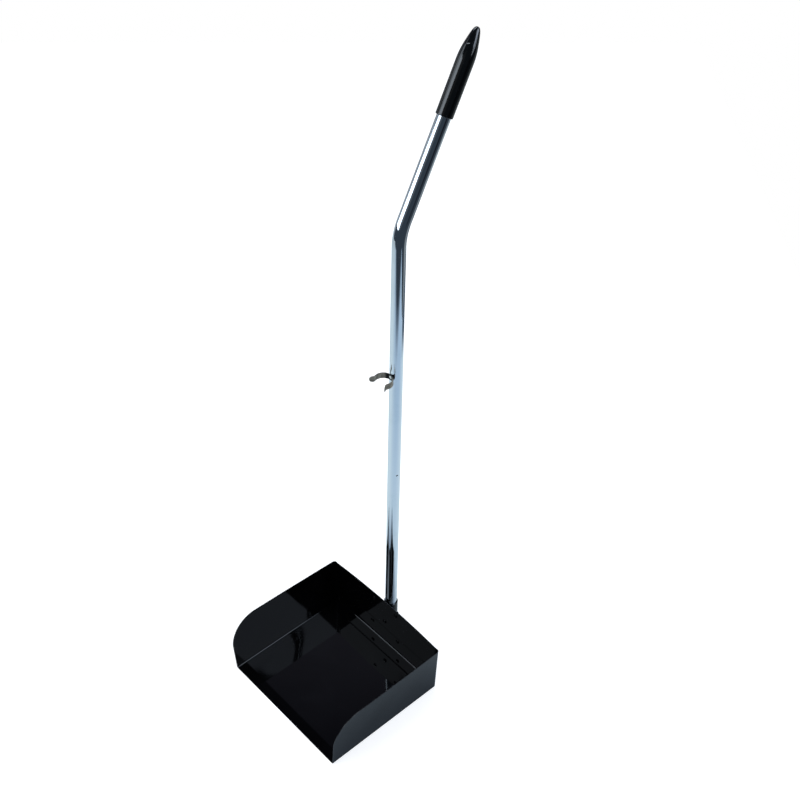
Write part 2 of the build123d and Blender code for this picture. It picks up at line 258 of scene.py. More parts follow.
class StageSizes(bpy.types.PropertyGroup):
    """The camera, the floor and the studio lights."""
    camera_place: FloatVectorProperty(
        name="Camera place", description="Where the camera stands",
        default=(0.98854, -0.75386, 1.64720), size=3, subtype="TRANSLATION")
    camera_turn: angle("Camera turn", "Turn of the camera about the upright", 47.892)
    camera_down: angle("Camera down", "How far the camera looks down", 40.454)
    camera_roll: angle("Camera roll", "Roll of the camera", 0.05)
    lens: share("Lens", "Focal length for a 36 mm sensor, in millimetres", 55.65)
    floor_near: length("Floor near edge", "Reach of the floor towards the camera", 0.92)
    floor_far: length("Floor far edge", "Reach of the floor away from the camera", 2.4)
    floor_left: length("Floor left edge", "Reach of the floor to the left", 2.2)
    floor_right: length("Floor right edge", "Reach of the floor to the right at the front", 0.98)
    floor_spread: length("Floor spread", "How much further the floor reaches right at the rear",
                         0.05)
    front_panel: share("Front panel", "Brightness of the large front-left panel", 3.3)
    back_panel: share("Back panel", "Brightness of the back-right panel", 4.6)
    top_panel: share("Top panel", "Brightness of the panel above the front-left one", 1.6)
    overhead: share("Overhead", "Brightness of the small panel overhead", 5.0)
    rear_overhead: share("Rear overhead", "Brightness of the long panel overhead", 4.0)
    side_panel: share("Side panel", "Brightness of the low panel at the back right", 2.4)
    fill: share("Fill", "Strength of the soft light from above", 1.8)


# Meshes from arrays

def grid_faces(rows, columns, closed=False, flip=False):
    """Quads of a grid of points numbered row by row; closed joins the last column to the first.

    A face goes first along its row and then to the next row, or the other way round if flipped.
    """
    row = np.arange(rows - 1)[:, None] * columns
    here = np.arange(columns if closed else columns - 1)[None, :]
    there = (here + 1) % columns
    corners = [row + here, row + there, row + columns + there, row + columns + here]
    faces = np.stack(corners[::-1] if flip else corners, axis=-1)
    return faces.reshape(-1, 4)


def fan_faces(ring, centre, flip=False):
    """Triangles from a closed ring of points to one centre point."""
    after = np.roll(ring, -1)
    middle = np.full(len(ring), centre)
    corners = [after, ring, middle] if flip else [ring, after, middle]
    return np.stack(corners, axis=-1)


def join_sheets(sheets):
    """One list of points and one of quads from several, sharing the points that coincide.

    Each sheet is (points, quads, values) with one extra value or vector per point.
    """
    starts = np.cumsum([0] + [len(sheet[0]) for sheet in sheets])
    points = np.concatenate([sheet[0] for sheet in sheets])
    quads = np.concatenate([sheet[1] + start for sheet, start in zip(sheets, starts)])
    extra = np.concatenate([sheet[2] for sheet in sheets])
    keys = np.round(points / SAME_POINT).astype(np.int64)
    _, first, which = np.unique(keys, axis=0, return_index=True, return_inverse=True)
    return points[first], which.ravel()[quads], extra[first]


def make_mesh(name, points, quads, triangles=None, **layers):
    """A smooth-shaded mesh object at the origin from arrays of points, quads and triangles.

    Each layer is one number or one vector per point, kept as an attribute of that name.
    """
    triangles = np.zeros((0, 3), int) if triangles is None else triangles
    corners = np.concatenate([quads.ravel(), triangles.ravel()]).astype(np.int32)
    starts = np.concatenate([
        np.arange(len(quads)) * 4, len(quads) * 4 + np.arange(len(triangles)) * 3])
    mesh = bpy.data.meshes.new(name)
    mesh.vertices.add(len(points))
    mesh.vertices.foreach_set("co", points.astype(np.float32).ravel())
    mesh.loops.add(len(corners))
    mesh.loops.foreach_set("vertex_index", corners)
    mesh.polygons.add(len(starts))
    mesh.polygons.foreach_set("loop_start", starts.astype(np.int32))
    mesh.update(calc_edges=True)
    if mesh.validate():
        raise RuntimeError(f"{name} has faces that don't fit its points")
    mesh.polygons.foreach_set("use_smooth", np.ones(len(starts), bool))
    for label, values in layers.items():
        flat = values.ndim == 1
        layer = mesh.attributes.new(label, "FLOAT" if flat else "FLOAT_VECTOR", "POINT")
        layer.data.foreach_set("value" if flat else "vector", values.astype(np.float32).ravel())
    piece = bpy.data.objects.new(name, mesh)
    bpy.context.scene.collection.objects.link(piece)
    return piece


def thicken(piece, thickness, edge_round, thin_group=None, thin_share=1.0):
    """Gives a skin its sheet thickness on the inside, and rounds its cut edges."""
    solid = piece.modifiers.new("Sheet thickness", "SOLIDIFY")
    solid.thickness = thickness
    solid.offset = -1.0
    solid.use_even_offset = True
    if thin_group:
        solid.vertex_group = thin_group
        solid.thickness_vertex_group = thin_share
    round_edges(piece, edge_round)


def round_edges(piece, edge_round, segments=3):
    """Rounds the sharp edges of a piece, and keeps its flat faces flat in the shading."""
    bevel = piece.modifiers.new("Rounded edges", "BEVEL")
    bevel.width = edge_round
    bevel.segments = segments
    bevel.limit_method = "ANGLE"
    bevel.angle_limit = SHARP_EDGE
    flat = piece.modifiers.new("Flat faces", "WEIGHTED_NORMAL")
    flat.weight = FLAT_WEIGHT
    flat.keep_sharp = False


def finish_piece(piece, material, slot, body, *nodes):
    """Paints a new piece, seats it on its body and hides the nodes that it stands for."""
    piece.data.materials.append(material)
    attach(piece, body)
    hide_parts(*nodes)


# Shader nodes

def put(tree, kind, values=None, links=None, **settings):
    """A new node with its settings, its input values and its incoming links."""
    node = tree.nodes.new(kind)
    for key, value in settings.items():
        setattr(node, key, value)
    for key, value in (values or {}).items():
        node.inputs[key].default_value = value
    for key, socket in (links or {}).items():
        tree.links.new(socket, node.inputs[key])
    return node


def new_group(name, inputs, output):
    """An empty shader node group: a vector and named numbers go in, and one number comes out.

    Gives the group, the sockets that bring its inputs and the socket that takes its output.
    """
    group = bpy.data.node_groups.new(name, "ShaderNodeTree")
    group.interface.new_socket("Vector", in_out="INPUT", socket_type="NodeSocketVector")
    for label, default in inputs.items():
        socket = group.interface.new_socket(label, in_out="INPUT", socket_type="NodeSocketFloat")
        socket.default_value = default
    group.interface.new_socket(output, in_out="OUTPUT", socket_type="NodeSocketFloat")
    given, made = group.nodes.new("NodeGroupInput"), group.nodes.new("NodeGroupOutput")
    return group, given.outputs, made.inputs[output]


def ramp(tree, value, low, high, smooth=True):
    """A number that goes from 0 to 1 as a value goes from low to high, smoothly or evenly."""
    return put(tree, "ShaderNodeMapRange", {"From Min": low, "From Max": high}, {"Value": value},
               interpolation_type="SMOOTHSTEP" if smooth else "LINEAR").outputs["Result"]


def spread(tree, mask, low, high):
    """A number that goes from low to high as the mask goes from 0 to 1."""
    return put(tree, "ShaderNodeMapRange", {"To Min": low, "To Max": high},
               {"Value": mask}).outputs["Result"]


def times(tree, first, second):
    """The product of two numbers."""
    return put(tree, "ShaderNodeMath", None, {0: first, 1: second},
               operation="MULTIPLY").outputs[0]


def reach_along(tree, place, direction):
    """How far a place lies along a direction."""
    return put(tree, "ShaderNodeVectorMath", {1: direction}, {0: place},
               operation="DOT_PRODUCT").outputs["Value"]


def blend_colours(tree, mask, first, second):
    """A colour that goes from the first to the second as the mask goes from 0 to 1."""
    node = put(tree, "ShaderNodeMix", None, {0: mask}, data_type="RGBA")
    for socket, paint in zip(node.inputs[MIX_COLOURS], (first, second)):
        if isinstance(paint, bpy.types.NodeSocket):
            tree.links.new(paint, socket)
        else:
            socket.default_value = (*paint, 1.0)
    return node.outputs[MIX_RESULT]


def ripple_group():
    """Height of a sprayed or dipped skin: broad waves plus a share of fine peel."""
    group, given, made = new_group(
        "Surface ripple", {"Scale": 40.0, "Fine scale": 600.0, "Fine share": 0.3}, "Height")
    broad = put(group, "ShaderNodeTexNoise", {"Detail": 1.0},
                {"Vector": given["Vector"], "Scale": given["Scale"]})
    fine = put(group, "ShaderNodeTexNoise", {"Detail": 2.0},
               {"Vector": given["Vector"], "Scale": given["Fine scale"]})
    both = put(group, "ShaderNodeMath", None,
               {0: fine.outputs[0], 1: given["Fine share"], 2: broad.outputs[0]},
               operation="MULTIPLY_ADD")
    group.links.new(both.outputs[0], made)
    return group


def smudge_group():
    """Soft blotches where a surface is handled or wiped: noise pressed between two levels."""
    group, given, made = new_group("Smudges", {"Scale": 12.0, "Low": 0.4, "High": 0.75}, "Mask")
    blotch = put(group, "ShaderNodeTexNoise", {"Detail": 5.0, "Roughness": 0.6, "Distortion": 0.6},
                 {"Vector": given["Vector"], "Scale": given["Scale"]})
    mask = put(group, "ShaderNodeMapRange", None,
               {"Value": blotch.outputs[0], "From Min": given["Low"], "From Max": given["High"]},
               interpolation_type="SMOOTHSTEP")
    group.links.new(mask.outputs["Result"], made)
    return group


def wear_group():
    """Wear along edges: an edge value broken up by a chipped noise and cut off sharply."""
    group, given, made = new_group(
        "Edge wear", {"Edge": 0.0, "Scale": 300.0, "Amount": 0.5}, "Mask")
    chips = put(group, "ShaderNodeTexNoise", {"Detail": 6.0, "Roughness": 0.7},
                {"Vector": given["Vector"], "Scale": given["Scale"]})
    both = put(group, "ShaderNodeMath", None,
               {0: times(group, given["Edge"], given["Amount"]), 1: chips.outputs[0]},
               operation="ADD")
    group.links.new(ramp(group, both.outputs[0], 0.98, 1.06), made)
    return group


def lines_group():
    """Fine drawn lines: noise squeezed along one axis, so that it runs in long thin streaks."""
    group, given, made = new_group("Drawn lines", {"Across": 900.0, "Along": 6.0}, "Height")
    scale = put(group, "ShaderNodeCombineXYZ", None,
                {"X": given["Across"], "Y": given["Across"], "Z": given["Along"]})
    squeezed = put(group, "ShaderNodeVectorMath", None,
                   {0: given["Vector"], 1: scale.outputs[0]}, operation="MULTIPLY")
    streaks = put(group, "ShaderNodeTexNoise", {"Scale": 1.0, "Detail": 4.0, "Roughness": 0.6},
                  {"Vector": squeezed.outputs[0]})
    group.links.new(streaks.outputs[0], made)
    return group


def dust_group():
    """Sparse specks of dust: the small cells of a speckle pattern, thinned by a broad noise."""
    group, given, made = new_group("Dust specks", {"Scale": 700.0, "Amount": 0.1}, "Mask")
    cells = put(group, "ShaderNodeTexVoronoi", {"Randomness": 1.0},
                {"Vector": given["Vector"], "Scale": given["Scale"]})
    speck = put(group, "ShaderNodeMath", None,
                {0: cells.outputs["Distance"], 1: given["Amount"]}, operation="LESS_THAN")
    drift = put(group, "ShaderNodeTexNoise", {"Scale": 9.0, "Detail": 3.0},
                {"Vector": given["Vector"]})
    thin = ramp(group, drift.outputs[0], 0.5, 0.7, smooth=False)
    group.links.new(times(group, speck.outputs[0], thin), made)
    return group


GROUPS = {"ripple": ripple_group, "smudge": smudge_group, "wear": wear_group,
          "lines": lines_group, "dust": dust_group}


def use_group(tree, kind, place, values, **links):
    """Places a shared node group in a material and gives its output; builds it the first time."""
    label = f"scoop {kind}"
    group = bpy.data.node_groups.get(label)
    if group is None:
        group = GROUPS[kind]()
        group.name = label
    return put(tree, "ShaderNodeGroup", values, {"Vector": place, **links},
               node_tree=group).outputs[0]


def new_material(name):
    """A node material with one surface shader; gives back the material, its tree and shader."""
    material = bpy.data.materials.new(name)
    material.use_nodes = True
    tree = material.node_tree
    return material, tree, tree.nodes["Principled BSDF"]


def coat(tree, shader, base, rough, height, strength, distance):
    """Sends a colour and a roughness to the shader, and a height to its normal through a bump."""
    tree.links.new(base, shader.inputs["Base Color"])
    tree.links.new(rough, shader.inputs["Roughness"])
    bump = put(tree, "ShaderNodeBump", {"Strength": strength, "Distance": distance},
               {"Height": height})
    tree.links.new(bump.outputs["Normal"], shader.inputs["Normal"])


def object_vector(tree):
    """The piece's own coordinates, in metres."""
    return put(tree, "ShaderNodeTexCoord").outputs["Object"]


def own_vector(tree, name):
    """A vector that the piece keeps at each of its points."""
    return put(tree, "ShaderNodeAttribute", attribute_name=name).outputs["Vector"]


def enamel_material(name, finishes, ripple_scale, with_edge=False, gloss=0.5, rough=(0.035, 0.085)):
    """Gloss black enamel: faint waves and peel, hazy patches, dust, and wear at the edges.

    The gloss is the share of light that its surface mirrors, a half for sound enamel.
    """
    material, tree, shader = new_material(name)
    place = object_vector(tree)
    smudge = use_group(tree, "smudge", place, {"Scale": 14.0, "Low": 0.42, "High": 0.8})
    dust = use_group(tree, "dust", place, {"Scale": 420.0, "Amount": 0.08})
    base = blend_colours(tree, smudge, finishes.enamel, finishes.enamel_haze)
    base = blend_colours(tree, dust, base, finishes.enamel_dust)
    if with_edge:
        edge = put(tree, "ShaderNodeAttribute", attribute_name="edge").outputs["Fac"]
        worn = use_group(tree, "wear", place, {"Scale": 260.0, "Amount": 0.2}, Edge=edge)
        base = blend_colours(tree, worn, base, finishes.bare)
        tree.links.new(worn, shader.inputs["Metallic"])
    shader.inputs["IOR"].default_value = 1.45
    shader.inputs["Specular IOR Level"].default_value = gloss
    ripple = use_group(tree, "ripple", place,
                       {"Scale": ripple_scale, "Fine scale": 700.0, "Fine share": 0.12})
    roughness = spread(tree, smudge, *rough)
    coat(tree, shader, base, roughness, ripple, strength=0.05, distance=0.001)
    return material


def plating_material(name, finishes):
    """Bright plated tube: fine drawn lines along it and dulled patches."""
    material, tree, shader = new_material(name)
    place = own_vector(tree, "unbent")
    smudge = use_group(tree, "smudge", place, {"Scale": 18.0, "Low": 0.45, "High": 0.8})
    lines = use_group(tree, "lines", place, {"Across": 1400.0, "Along": 9.0})
    base = blend_colours(tree, smudge, finishes.plating, finishes.plating_dull)
    shader.inputs["Metallic"].default_value = 1.0
    rough = spread(tree, smudge, 0.05, 0.11)
    coat(tree, shader, base, rough, lines, strength=0.02, distance=0.0005)
    return material


def vinyl_material(name, finishes):
    """Glossy black vinyl: slow waves from dipping, hazy patches and fine dust."""
    material, tree, shader = new_material(name)
    place = own_vector(tree, "unbent")
    smudge = use_group(tree, "smudge", place, {"Scale": 34.0, "Low": 0.42, "High": 0.78})
    dust = use_group(tree, "dust", place, {"Scale": 900.0, "Amount": 0.12})
    base = blend_colours(tree, smudge, finishes.vinyl, finishes.vinyl_haze)
    base = blend_colours(tree, dust, base, finishes.vinyl_dust)
    shader.inputs["IOR"].default_value = 1.64
    ripple = use_group(tree, "ripple", place,
                       {"Scale": 70.0, "Fine scale": 2200.0, "Fine share": 0.2})
    rough = spread(tree, smudge, 0.10, 0.16)
    coat(tree, shader, base, rough, ripple, strength=0.06, distance=0.001)
    return material


def spring_material(name, finishes):
    """Dull spring steel: rolling lines along the strip, tempered patches, darker steel about the
    rivet.
    """
    material, tree, shader = new_material(name)
    place = own_vector(tree, "unbent")
    smudge = use_group(tree, "smudge", place, {"Scale": 160.0, "Low": 0.38, "High": 0.72})
    lines = use_group(tree, "lines", place, {"Across": 5200.0, "Along": 90.0})
    parts = put(tree, "ShaderNodeSeparateXYZ", None, {0: place})
    away = put(tree, "ShaderNodeMath", None, {0: parts.outputs["Z"]}, operation="ABSOLUTE")
    # The strip is darker about the rivet, and fades back to its own colour along the strip
    dark_end, clear_start = 0.006, 0.0115
    clear = ramp(tree, away.outputs[0], dark_end, clear_start)
    base = blend_colours(tree, smudge, finishes.spring, finishes.spring_dark)
    base = blend_colours(tree, clear, finishes.spring_by_rivet, base)
    shader.inputs["Metallic"].default_value = 1.0
    rough = spread(tree, lines, 0.22, 0.40)
    coat(tree, shader, base, rough, lines, strength=0.12, distance=0.0003)
    return material


def rivet_material(name, finishes):
    """Bright steel of a set rivet: struck patches and faint waves."""
    material, tree, shader = new_material(name)
    smudge = use_group(tree, "smudge", object_vector(tree),
                       {"Scale": 400.0, "Low": 0.4, "High": 0.7})
    base = blend_colours(tree, smudge, finishes.rivet, finishes.rivet_dull)
    shader.inputs["Metallic"].default_value = 1.0
    rough = spread(tree, smudge, 0.12, 0.24)
    coat(tree, shader, base, rough, smudge, strength=0.08, distance=0.0002)
    return material


def paint_node(node, material, edge_round):
    """Gives a CAD node a finish, and rounds its sharp edges without touching its own points."""
    node.data.materials.clear()
    node.data.materials.append(material)
    weld = node.modifiers.new("Joined corners", "WELD")
    weld.merge_threshold = 0.00001
    round_edges(node, edge_round, segments=2)


# Pan

def half_width(pan, height):
    """Half the pan's outside width at a height."""
    return pan.width / 2 + height * math.tan(pan.flare)


def wall_share(pan, height):
    """A height as a share of the way from the fold's height to the wall's full height."""
    return (height - pan.fold_height) / (pan.wall_height - pan.fold_height)


def rear_sweep(pan):
    """Radius of the top edges' slow arc, and how far that arc draws in at the rear."""
    sine = math.sin(pan.rear_turn)
    sweep = (pan.depth - pan.corner_radius * (1 - sine)) / sine
    return sweep, sweep * (1 - math.cos(pan.rear_turn))


def round_corner(pan, line, rear_x, turn):
    """A wall's line carried on round the rear corner and along the tab.

    An arc of the corner radius from the line's last turn to a right angle, then straight points.
    """
    part = np.linspace(0, 1, CORNER_STATIONS + 1)[1:]
    turns = turn + part * (np.pi / 2 - turn)
    middle = line[-1] - pan.corner_radius * np.array([math.cos(turn), math.sin(turn)])
    arc = middle + pan.corner_radius * np.stack([np.cos(turns), np.sin(turns)], axis=1)
    end = np.array([rear_x - pan.tab_reach, pan.depth / 2])
    tab = np.linspace(0, 1, TAB_STATIONS + 1)[1:, None]
    return np.concatenate([line, arc, arc[-1] + tab * (end - arc[-1])])


def wall_lines(pan):
    """The right wall's lines at the fold and at the top, and how far up each station reaches.

    Low line: straight back, a quarter circle, then the tab. Top line: a slow arc that turns
    inwards, the rest of the quarter circle, then the tab. The reach follows a quarter circle of
    the front round and then drops evenly to the rear height. Gives the low points, the top
    points, the reach as a share of the wall's height, and the number of stations on the side.
    """
    front = -pan.depth / 2
    run = pan.depth / 2 - pan.corner_radius - front
    turn = np.linspace(0, np.pi / 2, FRONT_STATIONS)
    back = np.unique(np.round(np.concatenate([
        pan.front_round * (1 - np.cos(turn)), [pan.lip_length],
        np.linspace(pan.front_round, run, SIDE_STATIONS)]), decimals=8))
    part = back / run
    low_x, top_x = half_width(pan, pan.fold_height), half_width(pan, pan.wall_height)
    sweep, draw = rear_sweep(pan)
    low = np.stack([np.full_like(part, low_x), front + back], axis=1)
    top = np.stack([top_x - sweep * (1 - np.cos(part * pan.rear_turn)),
                    front + sweep * np.sin(part * pan.rear_turn)], axis=1)
    dip = np.clip(pan.front_round - back, 0, None)
    height = pan.wall_height - pan.front_round + np.sqrt(pan.front_round ** 2 - dip ** 2)
    drop = (pan.wall_height - pan.rear_height) / (pan.depth - pan.front_round)
    reach = wall_share(pan, height - drop * np.clip(back - pan.front_round, 0, None))
    tab_share = wall_share(pan, pan.tab_high)
    corner_part = np.linspace(0, 1, CORNER_STATIONS + 1)[1:]
    ease = np.clip((corner_part - TAB_DROP) / (1 - TAB_DROP), 0, 1) ** 2
    reach = np.concatenate([reach, reach[-1] + ease * (tab_share - reach[-1]),
                            np.full(TAB_STATIONS, tab_share)])
    return (round_corner(pan, low, low_x, 0.0),
            round_corner(pan, top, top_x - draw, pan.rear_turn), reach, len(back))


def buckle_of(pan, along, up):
    """Smooth unevenness of a thin sheet: two slow waves that fade out at the sheet's edges."""
    waves = sum(part * np.sin(2 * np.pi * (across * along + rise * up) + start)
                for part, across, rise, start in SHEET_WAVES)
    fade = np.sin(np.pi * np.clip(along, 0, 1)) * np.sin(np.pi * np.clip(up, 0, 1))
    return pan.buckle * waves * fade


def wall_sheet(pan, side):
    """One side wall's outer skin, right for side 1 and left for side -1.

    The point at a station and a share of the way up is the low line's point plus that share of
    the way to the top line's point, moved sideways by the sheet's slow waves.
    """
    low, top, reach, _ = wall_lines(pan)
    up = np.linspace(0, 1, WALL_ROWS)
    rise = reach[:, None] * up[None, :]
    plan = low[:, None, :] + rise[..., None] * (top - low)[:, None, :]
    along = np.clip((plan[..., 1] + pan.depth / 2) / (pan.depth - STIFF_REAR), 0, 1)
    x = plan[..., 0] + buckle_of(pan, along, rise) * side
    z = pan.fold_height + rise * (pan.wall_height - pan.fold_height)
    points = np.stack([side * x, plan[..., 1], z], axis=-1)
    edge = np.maximum(np.exp(-(reach[:, None] - rise) * EDGE_FADE),
                      np.exp(-np.arange(len(reach)) * FRONT_FADE)[:, None])
    return points.reshape(-1, 3), grid_faces(len(low), len(up), flip=side > 0), edge.ravel()


def fold_section(pan):
    """The right fold's outer line from the wall's foot to the flat floor, as x and z.

    The wall's foot, then an arc of the outer bend radius that ends where the floor starts.
    """
    radius = pan.inner_bend + pan.sheet
    middle_x = pan.width / 2 - radius / math.tan((math.pi / 2 + pan.flare) / 2)
    bend = np.linspace(-pan.flare, -np.pi / 2, FOLD_STEPS)
    x = np.concatenate([[half_width(pan, pan.fold_height)], middle_x + radius * np.cos(bend)])
    z = np.concatenate([[pan.fold_height], radius + radius * np.sin(bend)])
    return x, z


def floor_sheet(pan):
    """The floor's outer skin with its two folds.

    Across: the right fold's line, the flat floor and the left fold's line. The floor rises by a
    very slow dome between its edges, as a thin sheet does.
    """
    low, _, _, stations = wall_lines(pan)
    fold_x, fold_z = fold_section(pan)
    flat = np.linspace(fold_x[-1], -fold_x[-1], FLOOR_COLUMNS)[1:-1]
    across = np.concatenate([fold_x, flat, -fold_x[::-1]])
    height = np.concatenate([fold_z, np.zeros_like(flat), fold_z[::-1]])
    y = low[:stations, 1]
    x = np.broadcast_to(across, (stations, len(across)))
    z = height[None, :] + floor_dome(pan, x, y[:, None], fold_x[-1])
    points = np.stack([x, np.broadcast_to(y[:, None], x.shape), z], axis=-1)
    edge = np.exp(-(y + pan.depth / 2) / LIP_WEAR)
    return points.reshape(-1, 3), grid_faces(*x.shape), np.repeat(edge, len(across))


def corner_sheet(pan, side):
    """The skin below one rear corner and its tab, from the wall's foot down to the floor.

    The fold's line goes round the corner, and its inset shrinks to nothing on the way, so that
    the rear end is upright. Under the tab it stops on top of the floor.
    """
    low, _, _, stations = wall_lines(pan)
    fold_x, fold_z = fold_section(pan)
    plan = low[stations - 1:]
    part = np.clip(np.arange(len(plan)) / CORNER_STATIONS, 0, 1)
    turn = part * np.pi / 2
    shrink = np.clip(1 - part / FOLD_UPRIGHT, 0, 1) ** 2
    inset = (fold_x[0] - fold_x)[None, :] * shrink[:, None]
    x = plan[:, :1] - inset * np.cos(turn)[:, None]
    y = plan[:, 1:] - inset * np.sin(turn)[:, None]
    tab = (np.arange(len(plan)) > CORNER_STATIONS)[:, None]
    above = pan.sheet + fold_z * (1 - pan.sheet / pan.fold_height)
    z = np.where(tab, above[None, :], fold_z[None, :])
    points = np.stack([side * x, y, np.broadcast_to(z, x.shape)], axis=-1)
    return points.reshape(-1, 3), grid_faces(*x.shape, flip=side < 0), np.zeros(x.size)


def floor_dome(pan, x, y, reach):
    """Rise of the floor's middle: zero at the folds, at the lip and at the back panel's foot.

    A half wave each way, times a mean share and a slow swing about it.
    """
    mean, swing, waves_across, waves_along, foot_margin = 1.3, 0.7, 1.1, 0.4, 0.004
    front = -pan.depth / 2 + pan.lip_length
    rear = pan.depth / 2 - pan.foot_length - foot_margin
    along = np.clip((y - front) / (rear - front), 0, 1)
    across = np.clip((x / reach + 1) / 2, 0, 1)
    shape = np.sin(np.pi * along) * np.sin(np.pi * across)
    wave = np.sin(2 * np.pi * (waves_across * across + waves_along * along))
    return pan.buckle * shape * (mean + swing * wave)


def rear_floor_sheet(pan):
    """The floor's rear strip: rows of points that draw in along the rear corners' round."""
    points = corner_sheet(pan, 1)[0].reshape(-1, len(fold_section(pan)[0]), 3)
    limit, y = points[:CORNER_STATIONS + 1, -1, 0], points[:CORNER_STATIONS + 1, -1, 1]
    across = np.linspace(1, -1, FLOOR_COLUMNS)
    x = limit[:, None] * across[None, :]
    points = np.stack([x, np.broadcast_to(y[:, None], x.shape), np.zeros_like(x)], axis=-1)
    return points.reshape(-1, 3), grid_faces(*x.shape), np.zeros(x.size)


def back_sheet(pan):
    """The back panel's rear skin: foot, fold and wall along the section, from side to side.

    The sides follow the pan's rear corners, and the top edge is an arc of a large circle.
    """
    radius = pan.inner_bend + pan.sheet
    back_y = pan.depth / 2 - pan.sheet / math.cos(pan.flare)
    front = back_y - pan.sheet - pan.foot_length
    foot_y = np.concatenate([
        [front], np.linspace(front + pan.foot_edge, back_y - radius, FOOT_ROWS)[:-1]])
    bend = np.linspace(-np.pi / 2, 0, FOLD_STEPS)
    section_y = np.concatenate([foot_y, back_y - radius + radius * np.cos(bend)])
    low = pan.sheet + pan.foot_lift
    section_z = np.concatenate([np.full_like(foot_y, low), low + radius + radius * np.sin(bend)])
    across = np.linspace(1, -1, PANEL_COLUMNS)
    end_half = rear_half(pan, pan.panel_end)
    crown = pan.panel_crown - pan.panel_end
    circle = (end_half ** 2 + crown ** 2) / (2 * crown)
    top = pan.panel_crown - circle + np.sqrt(circle ** 2 - (across * end_half) ** 2)
    up = np.linspace(0, 1, PANEL_ROWS)[1:]
    wall_z = section_z[-1] + up[:, None] * (top[None, :] - section_z[-1])
    z = np.concatenate([np.repeat(section_z[:, None], len(across), axis=1), wall_z])
    flat_y = np.concatenate([section_y, np.full(len(up), back_y)])
    x = across[None, :] * rear_half(pan, z)
    rise = (z - section_z[-1]) / (top[None, :] - section_z[-1])
    y = flat_y[:, None] + buckle_of(pan, (across[None, :] + 1) / 2, rise) * PANEL_WAVES
    points = np.stack([x, np.broadcast_to(y, x.shape), z], axis=-1)
    edge = np.exp(-(1 - np.clip(rise, 0, 1)) * EDGE_FADE)
    return points.reshape(-1, 3), grid_faces(len(flat_y), len(across)), edge.ravel()


def rear_half(pan, height):
    """Half the back panel's width at a height: between the rear corners, less the side gap."""
    low = half_width(pan, pan.fold_height) - pan.corner_radius
    high = (half_width(pan, pan.wall_height) - rear_sweep(pan)[1]
            - pan.corner_radius * math.cos(pan.rear_turn))
    return low + wall_share(pan, height) * (high - low) - pan.side_gap


def dull_faces(piece, inside, material):
    """Gives the faces whose middles lie inside a region a second, duller finish."""
    middles = np.empty(len(piece.data.polygons) * 3, np.float32)
    piece.data.polygons.foreach_get("center", middles)
    piece.data.materials.append(material)
    which = inside(*middles.reshape(-1, 3).T).astype(np.int32)
    piece.data.polygons.foreach_set("material_index", which)


def cut_edges(piece, material):
    """Gives the cut edges of a sheet a rougher finish, apart from those of its duller faces."""
    duller = piece.data.materials[1]
    piece.data.materials.append(material)
    piece.data.materials.append(duller)
    piece.modifiers["Sheet thickness"].material_offset_rim = 2


def thin_lip(piece, pan):
    """Weights that thin the sheet evenly from the lip's rear line to its front edge."""
    points = np.empty(len(piece.data.vertices) * 3, np.float32)
    piece.data.vertices.foreach_get("co", points)
    x, y, _ = points.reshape(-1, 3).T
    floor_half = pan.width / 2 - pan.sheet - pan.inner_bend
    weight = np.where(np.abs(x) < floor_half, (y + pan.depth / 2) / pan.lip_length, 1.0)
    weight = np.round(np.clip(weight, 0, 1), decimals=4)
    group = piece.vertex_groups.new(name="lip")
    for level in np.unique(weight):
        group.add(np.flatnonzero(weight == level).tolist(), float(level), "REPLACE")


# Handle, grip and clip

def bend_place(handle):
    """The point where the axes of the handle's two runs meet."""
    return Vector((0, handle.ground_y + handle.bend_height * math.tan(handle.lower_lean),
                   handle.bend_height))


def handle_runs(handle):
    """Lengths of the lower run and of the bend, and how far the bend starts before its corner."""
    turn = handle.upper_lean - handle.lower_lean
    tangent = handle.bend_radius * math.tan(turn / 2)
    lower = (handle.bend_height - handle.foot_height) / math.cos(handle.lower_lean) - tangent
    return lower, handle.bend_radius * turn, tangent


def handle_path(handle, along):
    """Centre points and leans at distances along the handle from its foot.

    A straight run at the lower lean, an arc of the bend radius through the difference of the
    two leans, and a straight run at the upper lean.
    """
    lower, bend, _ = handle_runs(handle)
    first = np.minimum(along, lower)
    arc = np.clip(along - lower, 0, bend)
    last = np.maximum(along - lower - bend, 0)
    lean = handle.lower_lean + arc / handle.bend_radius
    start_y = handle.ground_y + handle.foot_height * math.tan(handle.lower_lean)
    y = (start_y + first * math.sin(handle.lower_lean)
         + handle.bend_radius * (math.cos(handle.lower_lean) - np.cos(lean))
         + last * math.sin(handle.upper_lean))
    z = (handle.foot_height + first * math.cos(handle.lower_lean)
         + handle.bend_radius * (np.sin(lean) - math.sin(handle.lower_lean))
         + last * math.cos(handle.upper_lean))
    return np.stack([np.zeros_like(y), y, z], axis=-1), lean


def tube_point(handle, around, along):
    """The tube's outside: the path's point plus the radius, turned about the path.

    around is a distance round the tube, along a distance up it. Also gives the same point on
    the straightened tube, for patterns that follow the tube.
    """
    centre, lean = handle_path(handle, along)
    turn = around / handle.radius
    across = np.cos(turn) * handle.radius
    behind = np.sin(turn) * handle.radius
    offset = np.broadcast_arrays(across, behind * np.cos(lean), -behind * np.sin(lean))
    points = centre + np.stack(offset, axis=-1)
    unbent = np.stack(np.broadcast_arrays(across, behind, along), axis=-1)
    return points, unbent


def window_ring(columns, rows):
    """The points round a rectangle of grid lines, in order, as two arrays of coordinates."""
    low, right = np.full_like(columns, rows[0]), np.full_like(rows, columns[-1])
    high, left = np.full_like(columns, rows[-1]), np.full_like(rows, columns[0])
    return (np.concatenate([columns[:-1], right[:-1], columns[:0:-1], left[:0:-1]]),
            np.concatenate([low[:-1], rows[:-1], high[:0:-1], rows[:0:-1]]))


